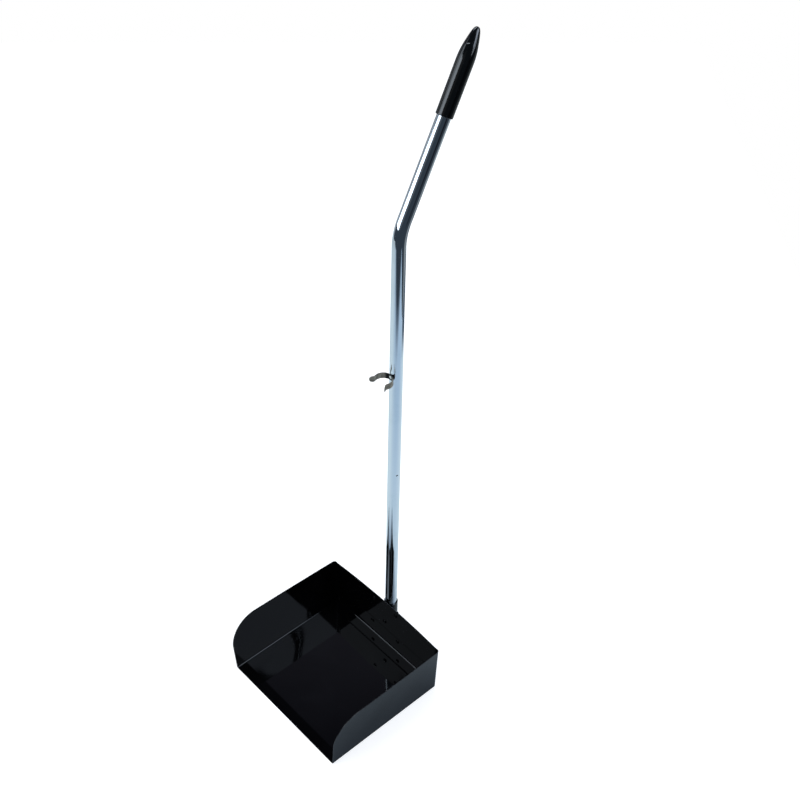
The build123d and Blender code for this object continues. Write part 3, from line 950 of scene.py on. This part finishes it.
def hole_rings(columns, rows, radius, count):
    """Rings that go evenly from a rectangular window of grid lines to a round hole inside it.

    Each ring is a mix of the window's points and the circle's points at the same bearings.
    """
    edge_a, edge_b = window_ring(columns, rows)
    middle_a, middle_b = (columns[0] + columns[-1]) / 2, (rows[0] + rows[-1]) / 2
    bearing = np.arctan2(edge_b - middle_b, edge_a - middle_a)
    mix = np.linspace(0, 1, count)[:, None]
    a = (1 - mix) * edge_a + mix * (middle_a + radius * np.cos(bearing))
    b = (1 - mix) * edge_b + mix * (middle_b + radius * np.sin(bearing))
    return a, b


def cut_window(faces, rows, columns, row_span, column_span):
    """Leaves out the quads of a grid inside a window of rows and columns."""
    row = np.repeat(np.arange(rows), columns)
    column = np.tile(np.arange(columns), rows)
    inside = ((row >= row_span[0]) & (row < row_span[1])
              & (column >= column_span[0]) & (column < column_span[1]))
    return faces[~inside]


def tube_sheet(handle, grip):
    """The tube's outer skin with its drain hole.

    A circle carried along the handle's path; a window of the grid about the drain hole is
    replaced by rings that end in the round hole.
    """
    pad = 0.0026
    lower, bend, tangent = handle_runs(handle)
    upper = grip.start + grip.length - grip.tube_stop - tangent
    hole = (handle.drain_height - handle.foot_height) / math.cos(handle.lower_lean)
    window = np.linspace(hole - pad, hole + pad, DRAIN_CELLS + 1)
    stations = np.concatenate([
        np.linspace(0, window[0], BELOW_DRAIN + 1)[:-1], window,
        np.linspace(window[-1], lower, ABOVE_DRAIN + 1)[1:],
        np.linspace(lower, lower + bend, BEND_STATIONS + 1)[1:],
        np.linspace(lower + bend, lower + bend + upper, UPPER_STATIONS + 1)[1:]])
    spacing = 2 * math.pi * handle.radius / TUBE_COLUMNS
    hole_around = (handle.drain_angle - math.pi / 2) * handle.radius
    around = hole_around + (np.arange(TUBE_COLUMNS) - DRAIN_CELLS) * spacing
    points, unbent = tube_point(handle, around[None, :], stations[:, None])
    span = 2 * DRAIN_CELLS
    faces = cut_window(grid_faces(len(stations), TUBE_COLUMNS, closed=True),
                       len(stations) - 1, TUBE_COLUMNS,
                       (BELOW_DRAIN, BELOW_DRAIN + DRAIN_CELLS), (0, span))
    skin = (points.reshape(-1, 3), faces, unbent.reshape(-1, 3))
    a, b = hole_rings(around[:span + 1], window, handle.drain_radius, DRAIN_RINGS)
    points, unbent = tube_point(handle, a, b)
    patch = (points.reshape(-1, 3), grid_faces(*a.shape, closed=True), unbent.reshape(-1, 3))
    return join_sheets([skin, patch])


def grip_profile(grip, bore):
    """The grip's half section as radii and distances from its lower end.

    Up the bore's mouth, out along the end face, round the rim, up the straight wall, in along a
    curve that falls with the square of the way to the nose, and along the nose. The nose's radius
    is its largest radius times the share of the way from the tip, raised to a power that grows
    with that share, so that the nose is a cone with a blunt tip. The stations lie closer together
    about the ledge.
    """
    mouth, chamfer = 0.006, 0.0003
    taper_close, nose_close = 0.86, 0.93
    blunt_power, power_growth = 0.385, 0.15
    turn = np.linspace(0, np.pi / 2, RIM_STATIONS)
    rim_r = grip.radius - grip.rim + grip.rim * np.sin(turn)
    rim_z = grip.rim - grip.rim * np.cos(turn)
    wall_end = grip.length - grip.taper
    wall_z = np.linspace(grip.rim, wall_end, GRIP_STATIONS)[1:]
    wall_r = np.full_like(wall_z, grip.radius)
    part = np.concatenate([np.linspace(0, taper_close, TAPER_STATIONS[0])[1:],
                           np.linspace(taper_close, 1, TAPER_STATIONS[1])[1:]])
    taper_z = wall_end + part * (grip.taper - grip.nose_start)
    taper_r = grip.radius - (grip.radius - grip.nose_radius) * part ** 2
    root = np.concatenate([np.linspace(1, nose_close, NOSE_STATIONS[0])[1:],
                           np.linspace(nose_close, 0, NOSE_STATIONS[1])[1:-1]])
    tip_share = root ** 2
    nose_z = grip.length - grip.blunting - (grip.nose_start - grip.blunting) * tip_share
    nose_r = grip.nose_radius * tip_share ** (blunt_power + power_growth * tip_share)
    radii = np.concatenate([[bore, bore, bore + chamfer], rim_r, wall_r, taper_r, nose_r])
    heights = np.concatenate([[mouth, chamfer, 0.0], rim_z, wall_z, taper_z, nose_z])
    return radii, heights


def grip_ledge(grip, turn, heights):
    """How far the grip stands out or in by the short slanting ledge at the nose's lower end.

    Along the grip it grows slowly to the ledge's lower edge, falls over the ledge's slope to the
    same amount inwards, and fades along the nose. Round the grip it fades out on both sides of
    the ledge's middle, and the ledge climbs in step with the turn.
    """
    fade_above, fade_below, end_cosine, cosine_fade = 0.008, 0.006, 0.766, 0.133
    aside = (turn - grip.ledge_middle + np.pi) % (2 * np.pi) - np.pi
    from_tip = grip.length - heights[:, None] + grip.ledge_slant * aside[None, :]
    upper = grip.ledge_from_tip
    lower = upper + grip.ledge_length
    along = np.interp(from_tip, [upper - fade_above, upper, lower, lower + fade_below],
                      [0.0, -grip.ledge_rise, grip.ledge_rise, 0.0])
    return along * np.clip((np.cos(aside) - end_cosine) / cosine_fade, 0, 1)[None, :]


def grip_surface(handle, grip):
    """The grip's surface: its half section turned about the upper run's axis, closed at the tip.

    Two faint parting lines run up the sides, where the radius stands out by a hair, and a short
    ledge lies at the nose's lower end.
    """
    clearance, parting_width, parting_rise = 0.00005, 0.035, 0.00006
    radii, heights = grip_profile(grip, handle.radius + clearance)
    turn = np.arange(GRIP_COLUMNS) * 2 * np.pi / GRIP_COLUMNS
    parting = np.exp(-(np.sin(turn) / parting_width) ** 2) * parting_rise
    outside = np.arange(len(radii)) >= MOUTH_STATIONS + RIM_STATIONS
    fade = outside[:, None] * np.clip(radii / grip.radius, 0, 1)[:, None]
    r = radii[:, None] + parting[None, :] * fade + grip_ledge(grip, turn, heights)
    axis = upper_axis(handle)
    start = bend_place(handle) + axis * grip.start
    behind = Vector((0, math.cos(handle.upper_lean), -math.sin(handle.upper_lean)))
    x, back = r * np.cos(turn), r * np.sin(turn)
    up = np.broadcast_to(heights[:, None], r.shape)
    points = (np.array(start) + x[..., None] * np.array([1.0, 0.0, 0.0])
              + back[..., None] * np.array(behind) + up[..., None] * np.array(axis))
    tip_height = grip.length - grip.blunting
    tip = np.array(start + axis * tip_height)
    points = np.concatenate([points.reshape(-1, 3), tip[None, :]])
    unbent = np.concatenate([np.stack([x, back, up], axis=-1).reshape(-1, 3),
                             [[0.0, 0.0, tip_height]]])
    last = (len(radii) - 1) * GRIP_COLUMNS + np.arange(GRIP_COLUMNS)
    return (points, grid_faces(len(radii), GRIP_COLUMNS, closed=True),
            fan_faces(last, len(points) - 1), unbent)


def upper_axis(handle):
    """Direction of the handle's upper run."""
    return Vector((0, math.sin(handle.upper_lean), math.cos(handle.upper_lean)))


def clip_frame(handle, clip):
    """Middle of the clip's round seat and its three directions: right, towards the tube, up."""
    up = np.array([0.0, math.sin(handle.lower_lean), math.cos(handle.lower_lean)])
    inward = np.array([0.0, math.cos(handle.lower_lean), -math.sin(handle.lower_lean)])
    axis_y = handle.ground_y + clip.height * math.tan(handle.lower_lean)
    reach = handle.radius + clip.strip + clip.seat_radius
    middle = np.array([0.0, axis_y, clip.height]) - inward * reach
    return middle, np.array([1.0, 0.0, 0.0]), inward, up


def strip_radius(clip):
    """Radius of the strip's centre line about the seat's middle."""
    return clip.seat_radius + clip.strip / 2


def clip_path(clip, along):
    """Centre line of the strip in its own plane, at distances from its middle, and its heading.

    An arc about the seat's middle, a tighter arc the other way for the neck, then a straight lip.
    """
    radius = strip_radius(clip)
    widest = math.pi / 2 + clip.past_widest
    seat = np.minimum(along, radius * widest)
    neck = np.clip(along - radius * widest, 0, clip.neck_radius * clip.lip_turn)
    lip = np.maximum(along - radius * widest - clip.neck_radius * clip.lip_turn, 0)
    turn = seat / radius
    heading = -turn + neck / clip.neck_radius
    neck_x = clip.neck_radius * (np.sin(heading) + math.sin(widest)) * (neck > 0)
    neck_y = clip.neck_radius * (math.cos(widest) - np.cos(heading)) * (neck > 0)
    x = radius * np.sin(turn) + neck_x + lip * np.cos(heading)
    y = radius * np.cos(turn) + neck_y + lip * np.sin(heading)
    return x, y, heading


def clip_length(clip):
    """Length of the strip's centre line from its middle to the end of one lip."""
    return (strip_radius(clip) * (math.pi / 2 + clip.past_widest)
            + clip.neck_radius * clip.lip_turn + clip.lip_length)


def strip_section(clip):
    """Outline of the strip's cross-section with rounded edges, as offsets outward and upward."""
    half_t, half_w, corner = clip.strip / 2, clip.width / 2, clip.edge_round
    turn = np.linspace(0, np.pi / 2, STRIP_CORNER)
    arc_t, arc_w = half_t - corner + corner * np.cos(turn), half_w - corner + corner * np.sin(turn)
    face = np.linspace(-(half_w - corner), half_w - corner, STRIP_FACE)
    outward = np.concatenate([np.full(STRIP_FACE - 1, half_t), arc_t, -arc_t[::-1],
                              np.full(STRIP_FACE - 2, -half_t), -arc_t, arc_t[::-1][:-1]])
    upward = np.concatenate([face[:-1], arc_w, arc_w[::-1], face[::-1][1:-1], -arc_w,
                             -arc_w[::-1][:-1]])
    return outward, upward


def clip_point(place, clip, along, outward, upward, side):
    """A point of the strip: its centre line's point plus offsets across it and up it."""
    middle, right, inward, up = place
    x, y, heading = clip_path(clip, np.abs(along))
    mirror = np.where(along < 0, -1.0, 1.0) * side
    x = x - outward * np.sin(heading)
    y = y + outward * np.cos(heading)
    return (middle + (x * mirror)[..., None] * right + y[..., None] * inward
            + upward[..., None] * up)


def clip_arm(place, clip, side):
    """One springy arm: the strip's section carried along its centre line to the rounded lip.

    Towards the end, the section narrows along a circle of the lip's rounding.
    """
    end = clip_length(clip)
    lip_start = end - clip.lip_round
    outward, upward = strip_section(clip)
    tip = clip.lip_round * np.sin(np.linspace(0, np.pi / 2, LIP_STATIONS))
    along = np.concatenate([
        np.linspace(strip_radius(clip) * clip.seam, lip_start, ARM_STATIONS)[:-1], lip_start + tip])
    past = np.clip(along - lip_start, 0, clip.lip_round)
    narrow = (clip.width / 2 - clip.lip_round
              + np.sqrt(np.clip(clip.lip_round ** 2 - past ** 2, 0, None))) / (clip.width / 2)
    shape = (len(along), len(outward))
    out, along = np.broadcast_to(outward, shape), np.broadcast_to(along[:, None], shape)
    up = upward[None, :] * narrow[:, None]
    points = clip_point(place, clip, along, out, up, side)
    none = np.zeros(1)
    points = np.concatenate([points.reshape(-1, 3),
                             clip_point(place, clip, np.array([end]), none, none, side)])
    unbent = np.concatenate([np.stack([out, up, along], axis=-1).reshape(-1, 3),
                             [[0.0, 0.0, end]]])
    last = (shape[0] - 1) * shape[1] + np.arange(shape[1])
    return (points, grid_faces(*shape, closed=True, flip=side < 0),
            fan_faces(last, len(points) - 1, flip=side < 0), unbent)


def clip_middle(place, clip):
    """The strip's middle with its countersunk rivet hole.

    The section carried along the seat's arc; on the seat's side a window of the grid is replaced
    by rings to the round hole, and a cone goes from there to the strip's far face.
    """
    reach = strip_radius(clip) * clip.seam
    outward, upward = strip_section(clip)
    stations = np.linspace(-reach, reach, SEAT_STATIONS)
    shape = (len(stations), len(outward))
    along = np.broadcast_to(stations[:, None], shape)
    out, up = np.broadcast_to(outward, shape), np.broadcast_to(upward, shape)
    points = clip_point(place, clip, along, out, up, 1)
    start = int(np.argmax(np.isclose(outward, -clip.strip / 2, rtol=0, atol=1e-9)))
    rows = (RIVET_MARGIN, SEAT_STATIONS - 1 - RIVET_MARGIN)
    columns = (start + RIVET_MARGIN, start + STRIP_FACE - 1 - RIVET_MARGIN)
    faces = cut_window(grid_faces(*shape, closed=True), shape[0] - 1, shape[1], rows, columns)
    skin = (points.reshape(-1, 3), faces, np.stack([out, up, along], axis=-1).reshape(-1, 3))
    lines_up = upward[columns[0]:columns[1] + 1][::-1]
    a, b = hole_rings(stations[rows[0]:rows[1] + 1], lines_up, clip.hole_radius, RIVET_RINGS)
    flat = clip_point(place, clip, a, np.full_like(a, -clip.strip / 2), b, 1)
    patch = (flat.reshape(-1, 3), grid_faces(*a.shape, closed=True),
             np.stack([np.zeros_like(a), b, a], axis=-1).reshape(-1, 3))
    depth = np.linspace(0, 1, RIVET_STEPS)[:, None]
    shrink = 1 - depth * (1 - clip.hole_bottom / clip.hole_radius)
    cone_a, cone_b = a[-1] * shrink, b[-1] * shrink
    depth = np.broadcast_to(depth, cone_a.shape)
    sunk = clip_point(place, clip, cone_a, (depth - 0.5) * clip.strip, cone_b, 1)
    cone = (sunk.reshape(-1, 3), grid_faces(*cone_a.shape, closed=True),
            np.stack([depth, cone_b, cone_a], axis=-1).reshape(-1, 3))
    return join_sheets([skin, patch, cone])


# Operators, one for each piece or group of like pieces

class SCOOP_OT_pan_tray(bpy.types.Operator):
    """Makes the folded tray of the pan in gloss enamel"""
    bl_idname = "scoop.pan_tray"
    bl_label = "Pan tray"

    def execute(self, context):
        pan, finishes = context.scene.scoop_pan, context.scene.scoop_finishes
        points, quads, edge = join_sheets([
            wall_sheet(pan, 1), wall_sheet(pan, -1), floor_sheet(pan), corner_sheet(pan, 1),
            corner_sheet(pan, -1), rear_floor_sheet(pan)])
        tray = make_mesh("pan_tray_sheet", points, quads, edge=edge)
        thin_lip(tray, pan)
        thicken(tray, pan.sheet, pan.edge_round, "lip", pan.lip_edge / pan.sheet)
        material = enamel_material("tray enamel", finishes, SHEET_RIPPLE, True)
        finish_piece(tray, material, ENAMEL, "scoop", "pan_tray")
        flat_half = fold_section(pan)[0][-1]
        dull_faces(tray,
                   lambda x, y, z: (np.abs(x) < flat_half) & (y < pan.lip_length - pan.depth / 2),
                   enamel_material("lip enamel", finishes, SHEET_RIPPLE, True, gloss=0.13))
        cut_edges(tray, enamel_material("tray cut edge", finishes, SHEET_RIPPLE, True,
                                        rough=CUT_ROUGHNESS))
        return {"FINISHED"}


class SCOOP_OT_back_panel(bpy.types.Operator):
    """Makes the pan's back panel with its foot and crowned top edge"""
    bl_idname = "scoop.back_panel"
    bl_label = "Back panel"

    def execute(self, context):
        pan, finishes = context.scene.scoop_pan, context.scene.scoop_finishes
        points, quads, edge = back_sheet(pan)
        panel = make_mesh("back_panel_sheet", points, quads, edge=edge)
        thicken(panel, pan.sheet, pan.edge_round)
        material = enamel_material("panel enamel", finishes, SHEET_RIPPLE, True)
        finish_piece(panel, material, ENAMEL, "scoop", "back_panel")
        foot_line = points[:, 1].min() + pan.foot_edge
        dull_faces(panel,
                   lambda x, y, z: (y < foot_line) | (np.abs(x) > rear_half(pan, z) - DULL_SIDE),
                   enamel_material("panel edge enamel", finishes, SHEET_RIPPLE, gloss=0.08))
        cut_edges(panel, enamel_material("panel cut edge", finishes, SHEET_RIPPLE, True,
                                         rough=CUT_ROUGHNESS))
        return {"FINISHED"}


class SCOOP_OT_socket(bpy.types.Operator):
    """Finishes the handle's socket with its rivets, bolt and nut"""
    bl_idname = "scoop.socket"
    bl_label = "Socket and fasteners"

    def execute(self, context):
        finishes = context.scene.scoop_finishes
        enamel = enamel_material("socket enamel", finishes, ripple_scale=25.0)
        black = enamel_material("fastener enamel", finishes, ripple_scale=60.0, gloss=0.14,
                                rough=(0.10, 0.18))
        paint_node(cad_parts["handle_socket"], enamel, edge_round=0.0004)
        for name in ("socket_rivets", "handle_bolt", "handle_nut"):
            paint_node(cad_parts[name], black, edge_round=0.00015)
        return {"FINISHED"}


class SCOOP_OT_handle_tube(bpy.types.Operator):
    """Makes the bent, plated tube of the handle"""
    bl_idname = "scoop.handle_tube"
    bl_label = "Handle tube"

    def execute(self, context):
        scene = context.scene
        points, quads, unbent = tube_sheet(scene.scoop_handle, scene.scoop_grip)
        tube = make_mesh("handle_tube_bent", points, quads, unbent=unbent)
        solid = tube.modifiers.new("Tube wall", "SOLIDIFY")
        solid.thickness = scene.scoop_handle.wall
        solid.offset = -1.0
        material = plating_material("plated tube", scene.scoop_finishes)
        finish_piece(tube, material, PLATING, "scoop", "handle_tube")
        return {"FINISHED"}


class SCOOP_OT_hand_grip(bpy.types.Operator):
    """Makes the moulded hand grip with its bullet end"""
    bl_idname = "scoop.hand_grip"
    bl_label = "Hand grip"

    def execute(self, context):
        scene = context.scene
        points, quads, triangles, unbent = grip_surface(scene.scoop_handle, scene.scoop_grip)
        grip = make_mesh("hand_grip_moulded", points, quads, triangles, unbent=unbent)
        material = vinyl_material("grip vinyl", scene.scoop_finishes)
        finish_piece(grip, material, VINYL, "scoop", "hand_grip")
        return {"FINISHED"}


class SCOOP_OT_clip(bpy.types.Operator):
    """Makes the spring clip: its riveted middle and its two arms"""
    bl_idname = "scoop.clip"
    bl_label = "Spring clip"

    def execute(self, context):
        scene = context.scene
        clip = scene.scoop_clip
        place = clip_frame(scene.scoop_handle, clip)
        spring = spring_material("spring steel", scene.scoop_finishes)
        points, quads, unbent = clip_middle(place, clip)
        middle = make_mesh("clip_strip_middle", points, quads, unbent=unbent)
        finish_piece(middle, spring, SPRING, "scoop", "clip_base")
        for name, side in (("right", 1), ("left", -1)):
            points, quads, triangles, unbent = clip_arm(place, clip, side)
            arm = make_mesh(f"clip_strip_{name}", points, quads, triangles, unbent=unbent)
            arm.data.materials.append(spring)
            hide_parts(f"clip_arm_{name}")
            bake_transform(arm)
        rivet = rivet_material("clip rivet steel", scene.scoop_finishes)
        paint_node(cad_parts["clip_rivet"], rivet, edge_round=0.0001)
        return {"FINISHED"}


class SCOOP_OT_stage(bpy.types.Operator):
    """Sets the pale floor, the soft studio lights and the camera"""
    bl_idname = "scoop.stage"
    bl_label = "Stage"

    def execute(self, context):
        scene, stage = context.scene, context.scene.scoop_stage
        scene.view_settings.view_transform = "Standard"
        stage_floor(stage, scene.scoop_finishes)
        stage_world(scene, stage)
        stage_lights(scene, stage)
        stage_camera(scene, stage)
        return {"FINISHED"}


# Stage

def floor_patch(tree, from_tube, limits):
    """A mask that is 1 where every limit is met.

    A limit is a measure of the place, a direction for it, and the values where it fades in.
    """
    mask = None
    for measure, direction, fade in limits:
        reach = put(tree, "ShaderNodeVectorMath", {1: direction}, {0: from_tube}, operation=measure)
        inside = ramp(tree, reach.outputs["Value"], *fade)
        mask = inside if mask is None else times(tree, mask, inside)
    return mask


def floor_tone(tree, place, toward, beside, stage, finishes):
    """The floor's colour as metal and gloss show it, with painted shade: darker towards the camera,
    and a painted shadow by the pan.

    There is also a dark patch at the back right, part of a ring about the tube.
    """
    sideways, near_fade, rim_start = 0.35, (-0.134, 0.6), 0.66
    slant = tuple(toward + sideways * beside)
    near = ramp(tree, reach_along(tree, place, slant), *near_fade, smooth=False)
    rim = ramp(tree, reach_along(tree, place, tuple(toward)), rim_start, stage.floor_near)
    shown = blend_colours(tree, near, finishes.mirrored_far, finishes.mirrored_near)
    shown = blend_colours(tree, rim, shown, finishes.mirrored_rim)
    tube_foot, any_way, back_left = (0.0, 0.133, 0.0), (0.0, 0.0, 0.0), (-0.707, 0.707, 0.0)
    from_tube = put(tree, "ShaderNodeVectorMath", {1: tube_foot}, {0: place}, operation="SUBTRACT")
    patch = floor_patch(tree, from_tube.outputs[0], (
        ("LENGTH", any_way, (0.73, 0.85)), ("LENGTH", any_way, (1.3, 1.08)),
        ("DOT_PRODUCT", back_left, (-0.02, 0.06)), ("DOT_PRODUCT", tuple(beside), (0.1, 0.3))))
    shown = blend_colours(tree, patch, shown, finishes.mirrored_rim)
    # Painted shadow: the mirrored floor darkens towards the pan's footprint, over the shade reach
    pan_half, shade_reach = (0.12, 0.11, 1.0), 0.12
    off = put(tree, "ShaderNodeVectorMath", None, {0: place}, operation="ABSOLUTE")
    off = put(tree, "ShaderNodeVectorMath", {1: pan_half}, {0: off.outputs[0]},
              operation="SUBTRACT")
    off = put(tree, "ShaderNodeVectorMath", {1: any_way}, {0: off.outputs[0]}, operation="MAXIMUM")
    off = put(tree, "ShaderNodeVectorMath", None, {0: off.outputs[0]}, operation="LENGTH")
    open_floor = ramp(tree, off.outputs["Value"], 0.0, shade_reach)
    return blend_colours(tree, open_floor, finishes.mirrored_shade, shown)


def stage_floor(stage, finishes):
    """A pale floor, turned to face the camera: a grid from its near edge to its far edge.

    Its right edge runs straight back at first and then outwards. It takes the object's shadow,
    and a share of its brightness is its own.
    """
    turn_start, turn_end, below, own_light = 0.2, -0.6, 0.0002, 0.6
    near_rows, far_rows, columns = 12, 5, 9
    toward = Vector((math.sin(stage.camera_turn), -math.cos(stage.camera_turn), 0))
    beside = Vector((math.cos(stage.camera_turn), math.sin(stage.camera_turn), 0))
    depth = np.concatenate([np.linspace(stage.floor_near, turn_end, near_rows),
                            np.linspace(turn_end, -stage.floor_far, far_rows)[1:]])
    turned = np.clip((turn_start - depth) / (turn_start - turn_end), 0, 1)
    right = stage.floor_right + stage.floor_spread * turned
    part = np.linspace(0, 1, columns)
    width = right[:, None] - part[None, :] * (right + stage.floor_left)[:, None]
    points = (depth[:, None, None] * np.array(toward) + width[..., None] * np.array(beside)
              + np.array([0.0, 0.0, -below]))
    floor = make_mesh("stage_floor", points.reshape(-1, 3), grid_faces(*width.shape))
    material = bpy.data.materials.new("stage floor")
    material.use_nodes = True
    tree = material.node_tree
    tree.nodes.clear()
    ray = put(tree, "ShaderNodeLightPath")
    mirrored = put(tree, "ShaderNodeMath", None,
                   {0: ray.outputs["Is Glossy Ray"], 1: ray.outputs["Is Transmission Ray"]},
                   operation="MAXIMUM")
    shown = floor_tone(tree, object_vector(tree), toward, beside, stage, finishes)
    tone = blend_colours(tree, mirrored.outputs[0], finishes.floor, shown)
    paper = put(tree, "ShaderNodeBsdfDiffuse", None, {"Color": tone})
    seen = put(tree, "ShaderNodeMath", {1: own_light}, {0: ray.outputs["Is Camera Ray"]},
               operation="MULTIPLY")
    glow = put(tree, "ShaderNodeEmission", None, {"Strength": seen.outputs[0]})
    both = put(tree, "ShaderNodeAddShader", None, {0: paper.outputs[0], 1: glow.outputs[0]})
    put(tree, "ShaderNodeOutputMaterial", None, {"Surface": both.outputs[0]})
    floor.data.materials.append(material)
    return floor


def stage_world(scene, stage):
    """A white backdrop to the camera, and a dim blue-grey studio to everything else.

    The studio is a little lighter behind the object than behind the camera. It is lightest on the
    wall behind the object, at the low backdrop in front of that wall, which fades out upwards, and
    on two pale patches, beyond the floor at the back right and level with the object at the left.
    A weaker patch borders the front panels, and a dark one lies level with the object at the right.
    """
    front_tone, rear_tone = (0.036, 0.048, 0.062), (0.055, 0.058, 0.085)
    wall_tone, backdrop_tone, white = (0.175, 0.178, 0.235), (0.16, 0.18, 0.20), (1.0, 1.0, 1.0)
    rise_fade, wall_fade = (-0.3, 0.7), (0.552, 0.632)
    low_fade, behind_fade = (0.3, 0.05), (0.1, 0.6)
    patches = (((0.072, 0.826, -0.559), (0.78, 0.95), (0.30, 0.33, 0.34)),
               ((-0.966, -0.259, 0.0), (0.92, 0.985), (0.34, 0.37, 0.40)),
               ((0.197, -0.925, 0.326), (0.93, 0.99), (0.11, 0.12, 0.135)),
               ((0.989, 0.148, -0.01), (0.94, 0.975), (0.010, 0.012, 0.016)))
    world = bpy.data.worlds.new("studio")
    world.use_nodes = True
    tree = world.node_tree
    tree.nodes.clear()
    away = (-math.sin(stage.camera_turn), math.cos(stage.camera_turn), 0.0)
    way = put(tree, "ShaderNodeTexCoord").outputs["Generated"]
    along = reach_along(tree, way, away)
    height = put(tree, "ShaderNodeSeparateXYZ", None, {0: way}).outputs["Z"]
    dim = blend_colours(tree, ramp(tree, along, *rise_fade), front_tone, rear_tone)
    dim = blend_colours(tree, ramp(tree, along, *wall_fade, smooth=False), dim, wall_tone)
    backdrop = times(tree, ramp(tree, height, *low_fade), ramp(tree, along, *behind_fade))
    dim = blend_colours(tree, backdrop, dim, backdrop_tone)
    for middle, fade, tone in patches:
        patch = ramp(tree, reach_along(tree, way, middle), *fade, smooth=False)
        dim = blend_colours(tree, patch, dim, tone)
    ray = put(tree, "ShaderNodeLightPath")
    shade = blend_colours(tree, ray.outputs["Is Camera Ray"], dim, white)
    light = put(tree, "ShaderNodeBackground", {"Strength": 1.0}, {"Color": shade})
    put(tree, "ShaderNodeOutputWorld", None, {"Surface": light.outputs[0]})
    scene.world = world


def aim(obj, place, target):
    """Puts a lamp at a place, facing a target."""
    way = Vector(target) - Vector(place)
    obj.matrix_world = (Matrix.Translation(Vector(place))
                        @ way.to_track_quat("-Z", "Y").to_matrix().to_4x4())


def soft_panel(scene, name, bearing, distance, height, tilt, size, brightness, tone, aside):
    """A rectangular soft light at a bearing, a distance and a height, tilted down to the object.

    It is moved aside, along its own plane, towards larger bearings.
    """
    lamp = bpy.data.lights.new(name, "AREA")
    lamp.shape = "RECTANGLE"
    lamp.size, lamp.size_y = size
    lamp.energy = brightness * math.pi * size[0] * size[1]
    lamp.color = tone
    obj = bpy.data.objects.new(name, lamp)
    scene.collection.objects.link(obj)
    a, e = math.radians(bearing), math.radians(tilt)
    place = Vector((math.cos(a) * distance - math.sin(a) * aside,
                    math.sin(a) * distance + math.cos(a) * aside, height))
    way = Vector((-math.cos(a) * math.cos(e), -math.sin(a) * math.cos(e), -math.sin(e)))
    aim(obj, place, place + way)


def stage_lights(scene, stage):
    """Three panels at the front left, three at the back right, two overhead, and a fill.

    Each row is a name, a bearing, a distance, a height, a tilt, a size, a brightness, a tone and
    how far the panel is moved aside.
    """
    cool, blue, top_share = (0.80, 0.90, 1.0), (0.72, 0.83, 1.0), 0.72
    fill_width, fill_height = 120, 3
    back = stage.back_panel
    panels = (
        ("front panel", -118, 1.33, 1.345, 0, (0.915, 1.03), stage.front_panel, cool, 0.223),
        ("low panel", -118, 1.33, 1.04, 0, (0.445, 0.42), stage.front_panel, cool, -0.457),
        ("top panel", -142, 1.33, 1.63, 0, (0.62, 0.72), stage.top_panel, cool, 0.0),
        ("side panel", 25, 2.0, 1.25, 0, (1.0, 0.3), stage.side_panel, cool, 0.0),
        ("overhead", 130, 0.75, 2.7, 70, (0.6, 0.6), stage.overhead, cool, 0.0),
        ("rear overhead", 184, 1.2, 2.75, 65, (0.8, 1.3), stage.rear_overhead, cool, 0.0),
        ("back panel", 32, 1.898, 1.847, 44, (1.565, 0.884), back, blue, -0.0175),
        ("back panel top", 32, 1.423, 2.339, 44, (1.565, 0.484), top_share * back, blue, -0.0175))
    for panel in panels:
        soft_panel(scene, *panel)
    lamp = bpy.data.lights.new("soft fill", "SUN")
    lamp.energy = stage.fill
    lamp.angle = math.radians(fill_width)
    fill = bpy.data.objects.new("soft fill", lamp)
    scene.collection.objects.link(fill)
    fill.visible_glossy = False
    aim(fill, (0, 0, fill_height), (0, 0, 0))


def stage_camera(scene, stage):
    """The camera at the photograph's place and angle."""
    data = bpy.data.cameras.new("camera")
    data.sensor_width = SENSOR_WIDTH
    data.lens = stage.lens
    camera = bpy.data.objects.new("camera", data)
    scene.collection.objects.link(camera)
    turn = Euler((math.pi / 2 - stage.camera_down, 0, stage.camera_turn)).to_matrix()
    roll = Matrix.Rotation(stage.camera_roll, 3, "Z")
    camera.matrix_world = (Matrix.Translation(Vector(stage.camera_place))
                           @ (turn @ roll).to_4x4())
    scene.camera = camera


# Panel and registration

OPERATORS = (SCOOP_OT_pan_tray, SCOOP_OT_back_panel, SCOOP_OT_socket, SCOOP_OT_handle_tube,
             SCOOP_OT_hand_grip, SCOOP_OT_clip, SCOOP_OT_stage)
SETTINGS = {"scoop_pan": PanSizes, "scoop_handle": HandleSizes, "scoop_grip": GripSizes,
            "scoop_clip": ClipSizes, "scoop_finishes": Finishes, "scoop_stage": StageSizes}


class SCOOP_PT_pieces(bpy.types.Panel):
    """Lists the scoop's pieces"""
    bl_idname = "SCOOP_PT_pieces"
    bl_label = "Waste scoop"
    bl_space_type = "VIEW_3D"
    bl_region_type = "UI"
    bl_category = "Scoop"

    def draw(self, context):
        for operator in OPERATORS:
            self.layout.operator(operator.bl_idname)


def register():
    """Registers the settings, the operators and the panel."""
    for name, settings in SETTINGS.items():
        bpy.utils.register_class(settings)
        setattr(bpy.types.Scene, name, PointerProperty(type=settings))
    for operator in OPERATORS:
        bpy.utils.register_class(operator)
    bpy.utils.register_class(SCOOP_PT_pieces)


def unregister():
    """Takes the panel, the operators and the settings away again."""
    bpy.utils.unregister_class(SCOOP_PT_pieces)
    for operator in reversed(OPERATORS):
        bpy.utils.unregister_class(operator)
    for name, settings in SETTINGS.items():
        delattr(bpy.types.Scene, name)
        bpy.utils.unregister_class(settings)


def main():
    register()
    bpy.ops.scoop.stage()
    bpy.ops.scoop.pan_tray()
    bpy.ops.scoop.back_panel()
    bpy.ops.scoop.socket()
    bpy.ops.scoop.handle_tube()
    bpy.ops.scoop.hand_grip()
    bpy.ops.scoop.clip()


if __name__ == "__main__":
    main()
